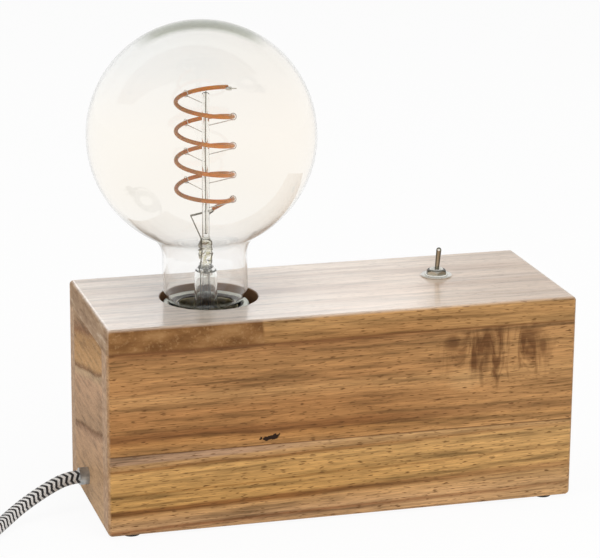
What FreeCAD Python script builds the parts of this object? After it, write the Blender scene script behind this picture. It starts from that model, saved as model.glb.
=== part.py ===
import FreeCAD, Part
import math
import os

Vector = FreeCAD.Vector

# Bare bulb table lamp: a hollow block of glued boards stands on four pads. A lamp holder hangs from
# the top board and takes a globe bulb with a spiral filament. A toggle switch stands on the top
# board, and a braided cord leaves the left end. Millimetres. The origin is under the middle of the
# block, on the surface that it stands on. +X is to the right, +Y to the back, +Z up.

# ---- driving dimensions: wooden block ----
BLOCK_LENGTH = 201.0
BLOCK_DEPTH = 78.8
BLOCK_HEIGHT = 88.2
BOARD = 10.3              # thickness of every board
EDGE_ROUND = 1.9          # rounding of the block's outer edges
FRONT_GLUE_LINE = 34.8    # height of the glue line between the front planks, above the block's foot
BACK_GLUE_LINE = 46.0
PAD_THICKNESS = 1.0
PAD_RADIUS = 3.6
PAD_END_INSET = 10.5      # pad centre, in from the block's end
PANEL_THICKNESS = 3.0
PANEL_RECESS = 1.0        # bottom panel lies this much above the boards' lower edges
PANEL_PLAY = 0.25
BLOCK_SIDE = 11.0         # glue blocks in the inner corners
BLOCK_TALL = 18.0
WOOD_SCREW_RADIUS = 1.4
SCREW_HEAD_RADIUS = 2.8
SCREW_HEAD_HEIGHT = 1.5
PANEL_SCREW_LENGTH = 12.0

# ---- driving dimensions: lamp holder ----
HOLE_FROM_END = 51.7      # bulb hole in the top board, from the block's left end
HOLE_RADIUS = 20.5
HOLE_CHAMFER = 0.4
HOLDER_OFFSET = -1.2      # the holder's axis from the hole's centre
RING_RADIUS = 18.1        # shade ring, seen in the hole
RING_BELOW_TOP = 2.4
RING_ROUND = 0.8
SKIRT_RADIUS = 15.5       # outer radius of the holder's threaded skirt
SKIRT_BORE = 14.6
THREAD_PLAY = 0.1         # between screwed plastic parts
FLANGE_RADIUS = 18.6
HOLDER_BORE_LOW = 16.8    # where the insert and the dome's collar seat
SKIRT_BELOW_RING = 0.8
PLATE_THICKNESS = 1.5
PLATE_LENGTH = 66.0
PLATE_SIDE_GAP = 2.1      # between the plate and the long planks
PLATE_CORNER = 4.0
PLATE_SCREW_INSET = 6.0
PLATE_SCREW_LENGTH = 8.5
HOLDER_DEPTH = 26.9       # from the plate's lower face to the joint of skirt and dome
DOME_HEIGHT = 18.0
DOME_MOUTH = 5.0
DOME_WALL = 3.7
INSERT_THICKNESS = 3.1
INSERT_BOSS_HEIGHT = 8.0
INSERT_BOSS_HALF_WIDTH = 5.0
TERMINAL_SIZE = (7.0, 6.0, 7.0)
TERMINAL_SCREW_RADIUS = 1.6
SHELL_BORE = 13.4         # screw shell's mean inner radius
SHEET = 0.4               # sheet metal of shell, cap and contacts
SHELL_HEIGHT = 25.9
CONTACT_WIDTH = 5.0
CONTACT_GAP = 0.05        # spring contact under the bulb's contact

# ---- driving dimensions: bulb ----
GLOBE_RADIUS = 47.5
GLOBE_ABOVE_TOP = 68.9    # globe's centre above the top board
GLASS_WALL = 0.7
NECK_RADIUS = 17.7
NECK_BLEND = 10.0         # concave round between globe and neck
NECK_FOOT = 8.0           # convex round at the neck's foot
NECK_FOOT_ABOVE_TOP = 4.4
GLASS_COLLAR = 12.2       # glass radius inside the cap
GLASS_COLLAR_DEPTH = 5.7
GLASS_LEAN = 1.3          # degrees, the globe stands a little crooked in its cap
CAP_RIM_BELOW_TOP = 4.0
CAP_RADIUS = 13.1
CAP_BEAD = 13.6
CAP_BEAD_HEIGHT = 1.0
CAP_LENGTH = 26.0
CAP_THREAD_LENGTH = 22.0
INSULATOR_HEIGHT = 2.8
INSULATOR_FOOT = 6.0
CAP_CONTACT_RADIUS = 4.8
FLARE_RADIUS = 4.8        # glass tube that carries the stem
FLARE_WALL = 0.8
PINCH_WIDTH = 5.8
PINCH_DEPTH = 2.8
PINCH_LOW = 12.8          # above the top board
PINCH_HIGH = 24.8
ROD_RADIUS = 1.5
ROD_BORE = 0.6
ROD_TOP = 86.6            # above the top board
EXHAUST_RADIUS = 1.6
EXHAUST_BORE = 1.0
LEAD_RADIUS = 0.25
LEAD_PLAY = 0.05          # round the lead wires in the stem's glass
LEAD_RISE = 3.0           # the left wire rises straight this far above the pinch, then bends
LEAD_SPACING = 4.4
FILAMENT_RADIUS = 11.7
FILAMENT_STRAND = 0.8
FILAMENT_PITCH = 12.2
FILAMENT_SHIFT = -0.5     # helix axis from the stem's axis
FILAMENT_START = 23.5     # degrees from +X, counter-clockwise from above, at the upper end
FILAMENT_TOP = 86.9       # the upper end, above the top board
FILAMENT_STEADY = 1220.0  # degrees wound at the steady pitch
FILAMENT_FLAT = 186.0     # then half a turn that is flatter
FILAMENT_FLAT_DROP = 3.0
FILAMENT_TAIL = 69.0      # then the steep end down to its terminal
FILAMENT_TAIL_DROP = 8.3
SUPPORT_RADIUS = 0.2
SUPPORT_LOOP = 0.5        # clearance of a support's hook round the strand
SUPPORT_ANGLES = (93.5, 320.5)   # degrees along the helix to the first left and right support
SUPPORT_FALLS = (2.6, 3.8)       # how far a support runs down to the rod
SUPPORT_TURNS = 4
FERRULE_LENGTH = 2.4
TIP_LENGTH = 4.0          # thin wire past the upper ferrule
STRIP_REACH = (5.2, 2.5, 0.6)    # flat strip from the left lead wire to the lower ferrule
STRIP_RADIUS = 0.45
LEAD_BELOW_GLASS = 4.0
DRIVER_BOARD_ABOVE = 8.0  # driver board above the foot of the cap's thread
DRIVER_BOARD_PLAY = 0.2
DRIVER_BOARD_THICKNESS = 1.0
CAPACITOR_RADIUS = 3.0
CAPACITOR_LENGTH = 6.0

# ---- driving dimensions: toggle switch ----
SWITCH_FROM_END = 46.9    # the switch's axis, from the block's right end
SWITCH_Y = 6.4
SWITCH_WEB = 4.0          # wood left above the switch's pocket
SWITCH_BODY = (7.9, 13.2, 9.5)
SWITCH_WALL = 1.0
POCKET_PLAY = 0.4
BUSHING_RADIUS = 3.0
BUSHING_ABOVE_TOP = 3.3
BUSHING_PLAY = 0.1
BUSHING_BORE = 1.95
BUSHING_LIP = 1.5
BUSHING_MOUTH = 2.3
LIP_ABOVE_PIVOT = 1.7
WASHER_RADIUS = 6.7
WASHER_TOP_RADIUS = 5.2
WASHER_HEIGHT = 1.2
NUT_ACROSS_FLATS = 8.0
NUT_HEIGHT = 1.6
PIVOT_ABOVE_TOP = 0.2
PIVOT_BALL = 1.75
PIVOT_PIN_RADIUS = 0.5    # cross pin of the lever's ball, held in the bushing
PIVOT_PIN_LENGTH = 3.7
LEVER_LENGTH = 13.3       # pivot to tip
LEVER_TIP_RADIUS = 1.1
LEVER_NECK_RADIUS = 0.85
LEVER_TAIL = 7.6          # pivot to the centre of the tail's ball
TAIL_RADIUS = 0.8
TAIL_BALL = 0.9
LEVER_REST = 12.5         # degrees that the lever leans to the front
ROCKER_BELOW_PIVOT = 9.2
ROCKER_SIZE = (3.4, 9.0, 0.4)
ROCKER_REST = 8.0
ROCKER_PIN_RADIUS = 0.4   # round rib on which the rocker tips
LUG_SIZE = (2.0, 0.8, 4.0)
LUG_PITCH = 4.7
CONTACT_PLAY = 0.15       # between the rocker and the lugs

# ---- driving dimensions: cord ----
CORD = 5.6                # diameter over the braid
CORD_PLAY = 0.1
CORD_Y = 2.6
CORD_ABOVE_FOOT = 12.4    # cord hole above the block's foot
SLEEVE_WALL = 0.75
SLEEVE_OUT = 4.0          # how far the metal sleeve stands out
SLEEVE_NUT_RADIUS = 5.2
SLEEVE_NUT_THICKNESS = 2.5
JACKET_END = 24.0         # cord inside the block, past the end board
CLAMP_FROM_BOARD = 8.0
CLAMP_LENGTH = 7.0
CLAMP_WALL = 2.0
CLAMP_PLAY = 0.3
WIRE_RADIUS = 1.0
WIRE_SPACING = 1.3
COIL_INNER = 26.4
COIL_TURNS = 3.3375       # turns in each layer, plus the half turn that climbs
COIL_PITCH = 6.05
PLUG_LENGTH = 34.0
PLUG_WIDTH = 35.0
PLUG_THICK = 13.7
PLUG_REAR_WIDTH = 17.0
PLUG_NOSE = 20.0          # full width over this length from the pins' face
PLUG_ROUND = 2.5
PIN_RADIUS = 2.0
PIN_LENGTH = 19.0
PIN_SPACING = 18.6
RELIEF_LENGTH = 20.0
RELIEF_REAR_RADIUS = 3.7
RELIEF_FRONT_RADIUS = 5.2

# ---- levels and places that follow ----
FOOT_Z = PAD_THICKNESS
TOP_Z = FOOT_Z + BLOCK_HEIGHT
UNDER_TOP_Z = TOP_Z - BOARD
PANEL_LOW_Z = FOOT_Z + PANEL_RECESS
PANEL_TOP_Z = PANEL_LOW_Z + PANEL_THICKNESS
HALF_LENGTH = BLOCK_LENGTH / 2
HALF_DEPTH = BLOCK_DEPTH / 2
INNER_X = HALF_LENGTH - BOARD
INNER_Y = HALF_DEPTH - BOARD
HOLE_X = HOLE_FROM_END - HALF_LENGTH
AXIS_X = HOLE_X + HOLDER_OFFSET
SWITCH_X = HALF_LENGTH - SWITCH_FROM_END
PLATE_HALF_LENGTH = PLATE_LENGTH / 2
PLATE_HALF_WIDTH = INNER_Y - PLATE_SIDE_GAP
PLATE_LOW_Z = UNDER_TOP_Z - PLATE_THICKNESS
RING_TOP_Z = TOP_Z - RING_BELOW_TOP
SKIRT_TOP_Z = RING_TOP_Z - SKIRT_BELOW_RING
JOINT_Z = PLATE_LOW_Z - HOLDER_DEPTH
CAP_RIM_Z = TOP_Z - CAP_RIM_BELOW_TOP
CAP_FOOT_Z = CAP_RIM_Z - CAP_LENGTH
CAP_THREAD_LOW_Z = CAP_RIM_Z - CAP_THREAD_LENGTH
INSULATOR_LOW_Z = CAP_THREAD_LOW_Z - INSULATOR_HEIGHT
INSERT_TOP_Z = JOINT_Z + 5.1
INSERT_LOW_Z = INSERT_TOP_Z - INSERT_THICKNESS
BOSS_LOW_Z = INSERT_LOW_Z - INSERT_BOSS_HEIGHT
TERMINAL_LOW_Z = INSERT_LOW_Z - TERMINAL_SIZE[2]
GLOBE_Z = TOP_Z + GLOBE_ABOVE_TOP
GLASS_END_Z = CAP_RIM_Z - GLASS_COLLAR_DEPTH
PIVOT_Z = TOP_Z + PIVOT_ABOVE_TOP
SWITCH_SEAT_Z = TOP_Z - SWITCH_WEB
SWITCH_LOW_Z = SWITCH_SEAT_Z - SWITCH_BODY[2]
ROCKER_Z = PIVOT_Z - ROCKER_BELOW_PIVOT
CORD_Z = FOOT_Z + CORD_ABOVE_FOOT
CORD_RADIUS = CORD / 2
SLEEVE_RADIUS = CORD_RADIUS + CORD_PLAY + SLEEVE_WALL
LAYER_RISE = COIL_PITCH
COIL_OUTER = COIL_INNER + COIL_TURNS * COIL_PITCH

# Route of the free cord, chosen by hand: out of the sleeve, down to the table and to the coil.
LEAD_POINTS = [
    (-HALF_LENGTH, CORD_Y, CORD_Z),
    (-109.0, CORD_Y, CORD_Z),
    (-119.5, -0.6, 9.9),
    (-131.0, -7.5, 6.0),
    (-140.5, -18.0, 3.6),
    (-149.2, -30.1, 2.8),
    (-158.04, -41.92, 2.8),
]
# The tail's steps from the coil's end to the plug: run, turn to the right in degrees, and rise.
TAIL_STEPS = [
    (11.5, 0.0, 0.0),
    (12.0, 18.0, 2.2),
    (12.0, 22.0, 3.6),
    (12.0, 22.0, 2.9),
    (11.0, 20.0, 1.1),
    (9.0, 16.0, 0.0),
]

STEP = 1e-4               # small step along a curve, to measure its heading

os.makedirs("parts", exist_ok=True)


# ---- shapes ----
def box(x0, x1, y0, y1, z0, z1):
    return Part.makeBox(x1 - x0, y1 - y0, z1 - z0, Vector(x0, y0, z0))


def rod(radius, x, y, z0, z1):
    return Part.makeCylinder(radius, z1 - z0, Vector(x, y, z0))


def cone(low_radius, high_radius, x, y, z0, z1):
    return Part.makeCone(low_radius, high_radius, z1 - z0, Vector(x, y, z0))


def turned(outline, x, y=0.0):
    """A solid of revolution about a vertical axis, from (radius, height) points."""
    points = [Vector(x + r, y, z) for r, z in outline]
    face = Part.Face(Part.makePolygon(points + points[:1]))
    return face.revolve(Vector(x, y, 0), Vector(0, 0, 1), 360)


def fuse(shapes):
    return shapes[0].multiFuse(shapes[1:]).removeSplitter() if len(shapes) > 1 else shapes[0]


def mirrored_places(x, y):
    return [(sx * x, sy * y) for sx in (-1, 1) for sy in (-1, 1)]


def save(name, solids):
    shape = solids[0] if len(solids) == 1 else Part.makeCompound(solids)
    shape.exportStep("parts/" + name + ".step")
    print(f"{name}: {len(shape.Solids)} solids, {shape.Volume:.1f} mm3, valid {shape.isValid()}")


def sweep(edges, radius):
    """A round tube along a smooth path of edges."""
    path = Part.Wire(edges)
    first = edges[0]
    start = first.valueAt(first.FirstParameter)
    heading = first.tangentAt(first.FirstParameter)
    ring = Part.Wire(Part.Edge(Part.Circle(start, heading, radius)))
    tube = path.makePipeShell([ring], True, False)
    return tube if isinstance(tube, Part.Solid) else Part.Solid(tube)


def bent_path(points):
    """Straight runs joined by tangent arcs, each as large as its two runs allow. Also the radii."""
    corners = [Vector(*p) for p in points]
    edges = []
    radii = []
    at = corners[0]
    for before, corner, after in zip(corners, corners[1:], corners[2:]):
        inward = corner - before
        onward = after - corner
        half_turn = inward.getAngle(onward) / 2
        reach = 0.45 * min(inward.Length, onward.Length)
        start = corner - inward.normalize() * reach
        end = corner + onward.normalize() * reach
        radius = reach / math.tan(half_turn)
        radii.append(radius)
        to_centre = (start + end) * 0.5 - corner
        middle = corner + to_centre.normalize() * (radius / math.cos(half_turn) - radius)
        edges.append(Part.LineSegment(at, start).toShape())
        edges.append(Part.Arc(start, middle, end).toShape())
        at = end
    edges.append(Part.LineSegment(at, corners[-1]).toShape())
    return edges, radii


def cord_tube(name, points, radius):
    """A cord's tube. Its radii are printed, and its volume against section times length."""
    edges, radii = bent_path(points)
    tube = sweep(edges, radius)
    length = sum(edge.Length for edge in edges)
    share = tube.Volume / (math.pi * radius ** 2 * length)
    listed = ", ".join(f"{r:.0f}" for r in radii)
    print(f"  {name}: length {length:.1f}, bend radii {listed}, volume share {share:.4f}")
    return tube, length


def arc_between(start, heading, end):
    """The arc from start, leaving along heading, to end, and its heading at the end."""
    chord = end - start
    along = Vector(chord).normalize()
    side = heading - along * heading.dot(along)
    half_angle = heading.getAngle(along)
    if side.Length < 1e-7:
        return Part.LineSegment(start, end).toShape()
    middle = (start + end) * 0.5 + side.normalize() * (chord.Length / 2 * math.tan(half_angle / 2))
    return Part.Arc(start, middle, end).toShape()


def biarc(start, leaving, end, arriving):
    """Two arcs that join two points and keep both headings."""
    span = end - start
    headings = leaving + arriving
    bend = 2 * (1 - leaving.dot(arriving))
    across = span.dot(headings)
    reach = (-across + math.sqrt(across ** 2 + bend * span.dot(span))) / bend
    middle = (start + end + (leaving - arriving) * reach) * 0.5
    first = arc_between(start, leaving, middle)
    heading = first.tangentAt(first.LastParameter)
    return [first, arc_between(middle, heading, end)]


def wound_path(place, steps):
    """Biarcs through place(step) for each step, with headings taken from the curve itself."""
    nodes = []
    for step in steps:
        heading = (place(step + STEP) - place(step - STEP)).normalize()
        nodes.append((place(step), heading))
    edges = []
    for (start, leaving), (end, arriving) in zip(nodes, nodes[1:]):
        edges += biarc(start, leaving, end, arriving)
    return edges


def least_self_gap(edges, radius, spacing=1.5):
    """Least gap between two stretches of a tube that aren't neighbours along it, if it is small."""
    points = []
    for edge in edges:
        points += edge.discretize(max(2, int(edge.Length / spacing)))[:-1]
    skip = int(6 * radius / spacing) + 2
    cell = 4 * radius
    grid = {}
    least = cell
    for index, point in enumerate(points):
        key = (int(point.x // cell), int(point.y // cell), int(point.z // cell))
        for dx in (-1, 0, 1):
            for dy in (-1, 0, 1):
                for dz in (-1, 0, 1):
                    for other in grid.get((key[0] + dx, key[1] + dy, key[2] + dz), ()):
                        if index - other > skip:
                            least = min(least, point.distanceToPoint(points[other]))
        grid.setdefault(key, []).append(index)
    return least - 2 * radius


# ---- wooden block ----
def rounded_block():
    solid = box(-HALF_LENGTH, HALF_LENGTH, -HALF_DEPTH, HALF_DEPTH, FOOT_Z, TOP_Z)
    return solid.makeFillet(EDGE_ROUND, solid.Edges)


def switch_pocket():
    half_x = SWITCH_BODY[0] / 2 + POCKET_PLAY
    half_y = SWITCH_BODY[1] / 2 + POCKET_PLAY
    return box(SWITCH_X - half_x, SWITCH_X + half_x, SWITCH_Y - half_y, SWITCH_Y + half_y,
               UNDER_TOP_Z - 1, SWITCH_SEAT_Z)


def plate_screw_places():
    return [(AXIS_X + x, y) for x, y in mirrored_places(PLATE_HALF_LENGTH - PLATE_SCREW_INSET,
                                                        PLATE_HALF_WIDTH - PLATE_SCREW_INSET)]


def top_board(block):
    board = box(-HALF_LENGTH, HALF_LENGTH, -HALF_DEPTH, HALF_DEPTH, UNDER_TOP_Z, TOP_Z).common(block)
    cuts = [rod(HOLE_RADIUS, HOLE_X, 0, UNDER_TOP_Z - 1, TOP_Z + 1)]
    cuts.append(cone(HOLE_RADIUS, HOLE_RADIUS + 2 * HOLE_CHAMFER, HOLE_X, 0,
                     TOP_Z - HOLE_CHAMFER, TOP_Z + HOLE_CHAMFER))
    cuts.append(switch_pocket())
    cuts.append(rod(BUSHING_RADIUS + BUSHING_PLAY, SWITCH_X, SWITCH_Y, UNDER_TOP_Z, TOP_Z + 1))
    screw_top = PLATE_LOW_Z + PLATE_SCREW_LENGTH
    cuts += [rod(WOOD_SCREW_RADIUS, x, y, UNDER_TOP_Z - 1, screw_top)
             for x, y in plate_screw_places()]
    return board.cut(cuts)


def long_planks(block, glue_line, front):
    """The two planks of a long side, edge to edge."""
    y0, y1 = (-HALF_DEPTH, -INNER_Y) if front else (INNER_Y, HALF_DEPTH)
    seam = FOOT_Z + glue_line
    lower = box(-HALF_LENGTH, HALF_LENGTH, y0, y1, FOOT_Z, seam).common(block)
    upper = box(-HALF_LENGTH, HALF_LENGTH, y0, y1, seam, UNDER_TOP_Z).common(block)
    return lower, upper


def end_board(block, left):
    x0, x1 = (-HALF_LENGTH, -INNER_X) if left else (INNER_X, HALF_LENGTH)
    board = box(x0, x1, -INNER_Y, INNER_Y, FOOT_Z, UNDER_TOP_Z).common(block)
    if left:
        hole = Part.makeCylinder(SLEEVE_RADIUS, 3 * BOARD, Vector(x0 - BOARD, CORD_Y, CORD_Z),
                                 Vector(1, 0, 0))
        board = board.cut(hole)
    return board


def corner_places():
    return mirrored_places(INNER_X - BLOCK_SIDE / 2, INNER_Y - BLOCK_SIDE / 2)


def countersunk_screw(x, y, head_z, length):
    """A wood screw that points up, with its head's flat face at head_z."""
    head = cone(SCREW_HEAD_RADIUS, WOOD_SCREW_RADIUS, x, y, head_z, head_z + SCREW_HEAD_HEIGHT)
    shank = rod(WOOD_SCREW_RADIUS, x, y, head_z + SCREW_HEAD_HEIGHT, head_z + length)
    return fuse([head, shank])


def pan_screw(x, y, seat_z, length):
    """A pan-head screw that points up, with the head's seat at seat_z."""
    head = rod(SCREW_HEAD_RADIUS, x, y, seat_z - SCREW_HEAD_HEIGHT, seat_z)
    head = head.makeFillet(SCREW_HEAD_HEIGHT / 2, [head.Edges[2]])
    return fuse([head, rod(WOOD_SCREW_RADIUS, x, y, seat_z, seat_z + length)])


def build_block():
    block = rounded_block()
    save("top_board", [top_board(block)])
    for side, glue_line, front in (("front", FRONT_GLUE_LINE, True), ("back", BACK_GLUE_LINE, False)):
        lower, upper = long_planks(block, glue_line, front)
        save(side + "_plank_lower", [lower])
        save(side + "_plank_upper", [upper])
    save("left_end_board", [end_board(block, True)])
    save("right_end_board", [end_board(block, False)])
    screws = [countersunk_screw(x, y, PANEL_LOW_Z, PANEL_SCREW_LENGTH) for x, y in corner_places()]
    half_x = INNER_X - PANEL_PLAY
    half_y = INNER_Y - PANEL_PLAY
    clamp_holes = [rod(WOOD_SCREW_RADIUS, x, y, PANEL_LOW_Z + 0.5, PANEL_TOP_Z + 1)
                   for x, y in clamp_screw_places()]
    panel = box(-half_x, half_x, -half_y, half_y, PANEL_LOW_Z, PANEL_TOP_Z)
    save("bottom_panel", [panel.cut(screws + clamp_holes)])
    half = BLOCK_SIDE / 2
    blocks = [box(x - half, x + half, y - half, y + half, PANEL_TOP_Z, PANEL_TOP_Z + BLOCK_TALL)
              for x, y in corner_places()]
    save("corner_blocks", [one.cut(screw) for one, screw in zip(blocks, screws)])
    save("panel_screws", screws)
    pads = [rod(PAD_RADIUS, x, y, 0, PAD_THICKNESS)
            for x, y in mirrored_places(HALF_LENGTH - PAD_END_INSET, (HALF_DEPTH + INNER_Y) / 2 - 0.6)]
    save("foot_pads", pads)


# ---- lamp holder ----
def holder_plate():
    plate = box(AXIS_X - PLATE_HALF_LENGTH, AXIS_X + PLATE_HALF_LENGTH, -PLATE_HALF_WIDTH,
                PLATE_HALF_WIDTH, PLATE_LOW_Z, UNDER_TOP_Z)
    upright = [e for e in plate.Edges if abs(e.tangentAt(e.FirstParameter).z) > 0.9]
    plate = plate.makeFillet(PLATE_CORNER, upright)
    holes = [rod(WOOD_SCREW_RADIUS + THREAD_PLAY, x, y, PLATE_LOW_Z - 1, TOP_Z)
             for x, y in plate_screw_places()]
    holes.append(rod(SKIRT_RADIUS + THREAD_PLAY, AXIS_X, 0, PLATE_LOW_Z - 1, TOP_Z))
    return plate.cut(holes)


def shade_ring():
    inner = SKIRT_RADIUS + THREAD_PLAY
    ring = turned([(inner, UNDER_TOP_Z), (RING_RADIUS, UNDER_TOP_Z), (RING_RADIUS, RING_TOP_Z),
                   (inner, RING_TOP_Z)], AXIS_X)
    rims = [e for e in ring.Edges if abs(e.BoundBox.ZMin - RING_TOP_Z) < 1e-6
            and abs(e.BoundBox.ZMax - RING_TOP_Z) < 1e-6]
    return ring.makeFillet(RING_ROUND, rims)


def holder_skirt():
    return turned([
        (FLANGE_RADIUS, JOINT_Z), (FLANGE_RADIUS, PLATE_LOW_Z), (SKIRT_RADIUS, PLATE_LOW_Z),
        (SKIRT_RADIUS, SKIRT_TOP_Z), (SKIRT_BORE, SKIRT_TOP_Z),
        (SKIRT_BORE, INSERT_TOP_Z), (HOLDER_BORE_LOW, INSERT_TOP_Z), (HOLDER_BORE_LOW, JOINT_Z),
    ], AXIS_X)


def holder_dome():
    inner = FLANGE_RADIUS - DOME_WALL
    collar = HOLDER_BORE_LOW - THREAD_PLAY
    collar_top = INSERT_LOW_Z - THREAD_PLAY
    low = JOINT_Z - DOME_HEIGHT
    return turned([
        (DOME_MOUTH, low), (DOME_MOUTH + 3, low), (FLANGE_RADIUS - 3, JOINT_Z - 9),
        (FLANGE_RADIUS, JOINT_Z - 5), (FLANGE_RADIUS, JOINT_Z), (collar, JOINT_Z),
        (collar, collar_top), (inner, collar_top), (inner, JOINT_Z - 7), (DOME_MOUTH, low + 4),
    ], AXIS_X)


def terminal_boxes():
    """The two brass terminals beside the insert's bar."""
    size_x, size_y, size_z = TERMINAL_SIZE
    near = INSERT_BOSS_HALF_WIDTH
    boxes = []
    for side in (-1, 1):
        y0, y1 = sorted((side * near, side * (near + size_y)))
        boxes.append(box(AXIS_X - size_x / 2, AXIS_X + size_x / 2, y0, y1,
                         TERMINAL_LOW_Z, INSERT_LOW_Z))
    return boxes


def terminal_screws():
    """Clamping screws, in from the outer side of each terminal."""
    outer = INSERT_BOSS_HALF_WIDTH + TERMINAL_SIZE[1]
    middle = (TERMINAL_LOW_Z + INSERT_LOW_Z) / 2
    return [Part.makeCylinder(TERMINAL_SCREW_RADIUS, 3.0, Vector(AXIS_X, side * (outer - 1.8), middle),
                              Vector(0, side, 0)) for side in (-1, 1)]


def holder_insert():
    puck = rod(HOLDER_BORE_LOW - THREAD_PLAY, AXIS_X, 0, INSERT_LOW_Z, INSERT_TOP_Z)
    bar = box(AXIS_X - 12, AXIS_X + 12, -INSERT_BOSS_HALF_WIDTH, INSERT_BOSS_HALF_WIDTH,
              BOSS_LOW_Z, INSERT_LOW_Z)
    wire_slot = box(AXIS_X - 2.6, AXIS_X + 2.6, -INSERT_BOSS_HALF_WIDTH, INSERT_BOSS_HALF_WIDTH,
                    BOSS_LOW_Z, BOSS_LOW_Z + 2.5)
    return fuse([puck, bar]).cut(wire_slot)


def screw_shell():
    outer = SHELL_BORE + SHEET
    top = INSERT_TOP_Z + SHELL_HEIGHT
    return turned([
        (9.0, INSERT_TOP_Z), (outer, INSERT_TOP_Z), (outer, top), (SHELL_BORE, top),
        (SHELL_BORE, INSERT_TOP_Z + SHEET), (9.0, INSERT_TOP_Z + SHEET),
    ], AXIS_X)


def centre_contact():
    """Bent spring strip: riveted at one end, its tongue rises to the bulb."""
    rise = CAP_FOOT_Z - CONTACT_GAP - SHEET
    outline = [(-7.5, INSERT_TOP_Z), (-2.5, INSERT_TOP_Z), (0.5, rise), (3.5, rise), (3.5, rise + SHEET),
               (0.3, rise + SHEET), (-2.7, INSERT_TOP_Z + SHEET), (-7.5, INSERT_TOP_Z + SHEET)]
    points = [Vector(AXIS_X + x, -CONTACT_WIDTH / 2, z) for x, z in outline]
    face = Part.Face(Part.makePolygon(points + points[:1]))
    return face.extrude(Vector(0, CONTACT_WIDTH, 0))


def build_holder():
    save("holder_plate", [holder_plate()])
    save("plate_screws", [pan_screw(x, y, PLATE_LOW_Z, PLATE_SCREW_LENGTH)
                          for x, y in plate_screw_places()])
    save("shade_ring", [shade_ring()])
    save("holder_skirt", [holder_skirt()])
    save("holder_dome", [holder_dome()])
    screws = terminal_screws()
    save("holder_insert", [holder_insert()])
    save("holder_terminals", [one.cut(screw) for one, screw in zip(terminal_boxes(), screws)])
    save("terminal_screws", screws)
    save("screw_shell", [screw_shell()])
    save("centre_contact", [centre_contact()])


# ---- bulb ----
def glass_outline(wall):
    """Half outline of the bulb's glass as edges, from the crown down, this far inside its surface."""
    def at(r, z):
        return Vector(AXIS_X + r, 0, z)

    globe = GLOBE_RADIUS - wall
    neck = NECK_RADIUS - wall
    blend = NECK_BLEND + wall
    foot = NECK_FOOT - wall
    collar = GLASS_COLLAR - wall
    blend_r = NECK_RADIUS + NECK_BLEND
    reach = GLOBE_RADIUS + NECK_BLEND
    blend_z = GLOBE_Z - math.sqrt(reach ** 2 - blend_r ** 2)
    tangent = (blend_r * globe / reach, GLOBE_Z - (GLOBE_Z - blend_z) * globe / reach)
    down = math.atan2(GLOBE_Z - tangent[1], tangent[0])
    turn = (math.pi / 2 - down) / 2
    side = (globe * math.cos(turn), GLOBE_Z + globe * math.sin(turn))
    blend_turn = math.atan2(tangent[1] - blend_z, tangent[0] - blend_r)
    half = (blend_turn + math.pi) / 2
    waist = (blend_r + blend * math.cos(half), blend_z + blend * math.sin(half))
    foot_r = NECK_RADIUS - NECK_FOOT
    foot_z = TOP_Z + NECK_FOOT_ABOVE_TOP
    under = math.acos((collar - foot_r) / foot)
    heel = (foot_r + foot * math.cos(under / 2), foot_z - foot * math.sin(under / 2))
    edge = (collar, foot_z - foot * math.sin(under))
    return [
        Part.Arc(at(0, GLOBE_Z + globe), at(*side), at(*tangent)).toShape(),
        Part.Arc(at(*tangent), at(*waist), at(neck, blend_z)).toShape(),
        Part.LineSegment(at(neck, blend_z), at(neck, foot_z)).toShape(),
        Part.Arc(at(neck, foot_z), at(*heel), at(*edge)).toShape(),
        Part.LineSegment(at(*edge), at(collar, GLASS_END_Z)).toShape(),
    ]


def bulb_glass():
    outer = glass_outline(0)
    inner = glass_outline(GLASS_WALL)
    crown = [e.valueAt(e.FirstParameter) for e in (outer[0], inner[0])]
    ends = [e.valueAt(e.LastParameter) for e in (outer[-1], inner[-1])]
    closing = [Part.LineSegment(*crown).toShape(), Part.LineSegment(*ends).toShape()]
    wire = Part.Wire(Part.__sortEdges__(outer + inner + closing))
    glass = Part.Face(wire).revolve(Vector(AXIS_X, 0, 0), Vector(0, 0, 1), 360)
    glass.rotate(Vector(AXIS_X, 0, CAP_RIM_Z), Vector(0, 1, 0), -GLASS_LEAN)
    return glass


def bulb_cap():
    inner = CAP_RADIUS - SHEET
    bead_low = CAP_RIM_Z - CAP_BEAD_HEIGHT
    return turned([
        (CAP_RADIUS - 1.5, CAP_THREAD_LOW_Z), (CAP_RADIUS, CAP_THREAD_LOW_Z + 1.5), (CAP_RADIUS, bead_low),
        (CAP_BEAD, bead_low), (CAP_BEAD, CAP_RIM_Z), (CAP_BEAD - SHEET, CAP_RIM_Z),
        (inner, bead_low - SHEET), (inner, CAP_THREAD_LOW_Z + 2), (inner - 1.5, CAP_THREAD_LOW_Z + 0.5),
        (inner - 1.5, CAP_THREAD_LOW_Z),
    ], AXIS_X)


def cap_insulator():
    return turned([(0, INSULATOR_LOW_Z), (INSULATOR_FOOT, INSULATOR_LOW_Z),
                   (CAP_RADIUS - 1.5, CAP_THREAD_LOW_Z), (0, CAP_THREAD_LOW_Z)], AXIS_X)


def cap_contact():
    return turned([(0, CAP_FOOT_Z), (CAP_CONTACT_RADIUS - 0.9, CAP_FOOT_Z),
                   (CAP_CONTACT_RADIUS, INSULATOR_LOW_Z), (0, INSULATOR_LOW_Z)], AXIS_X)


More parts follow.
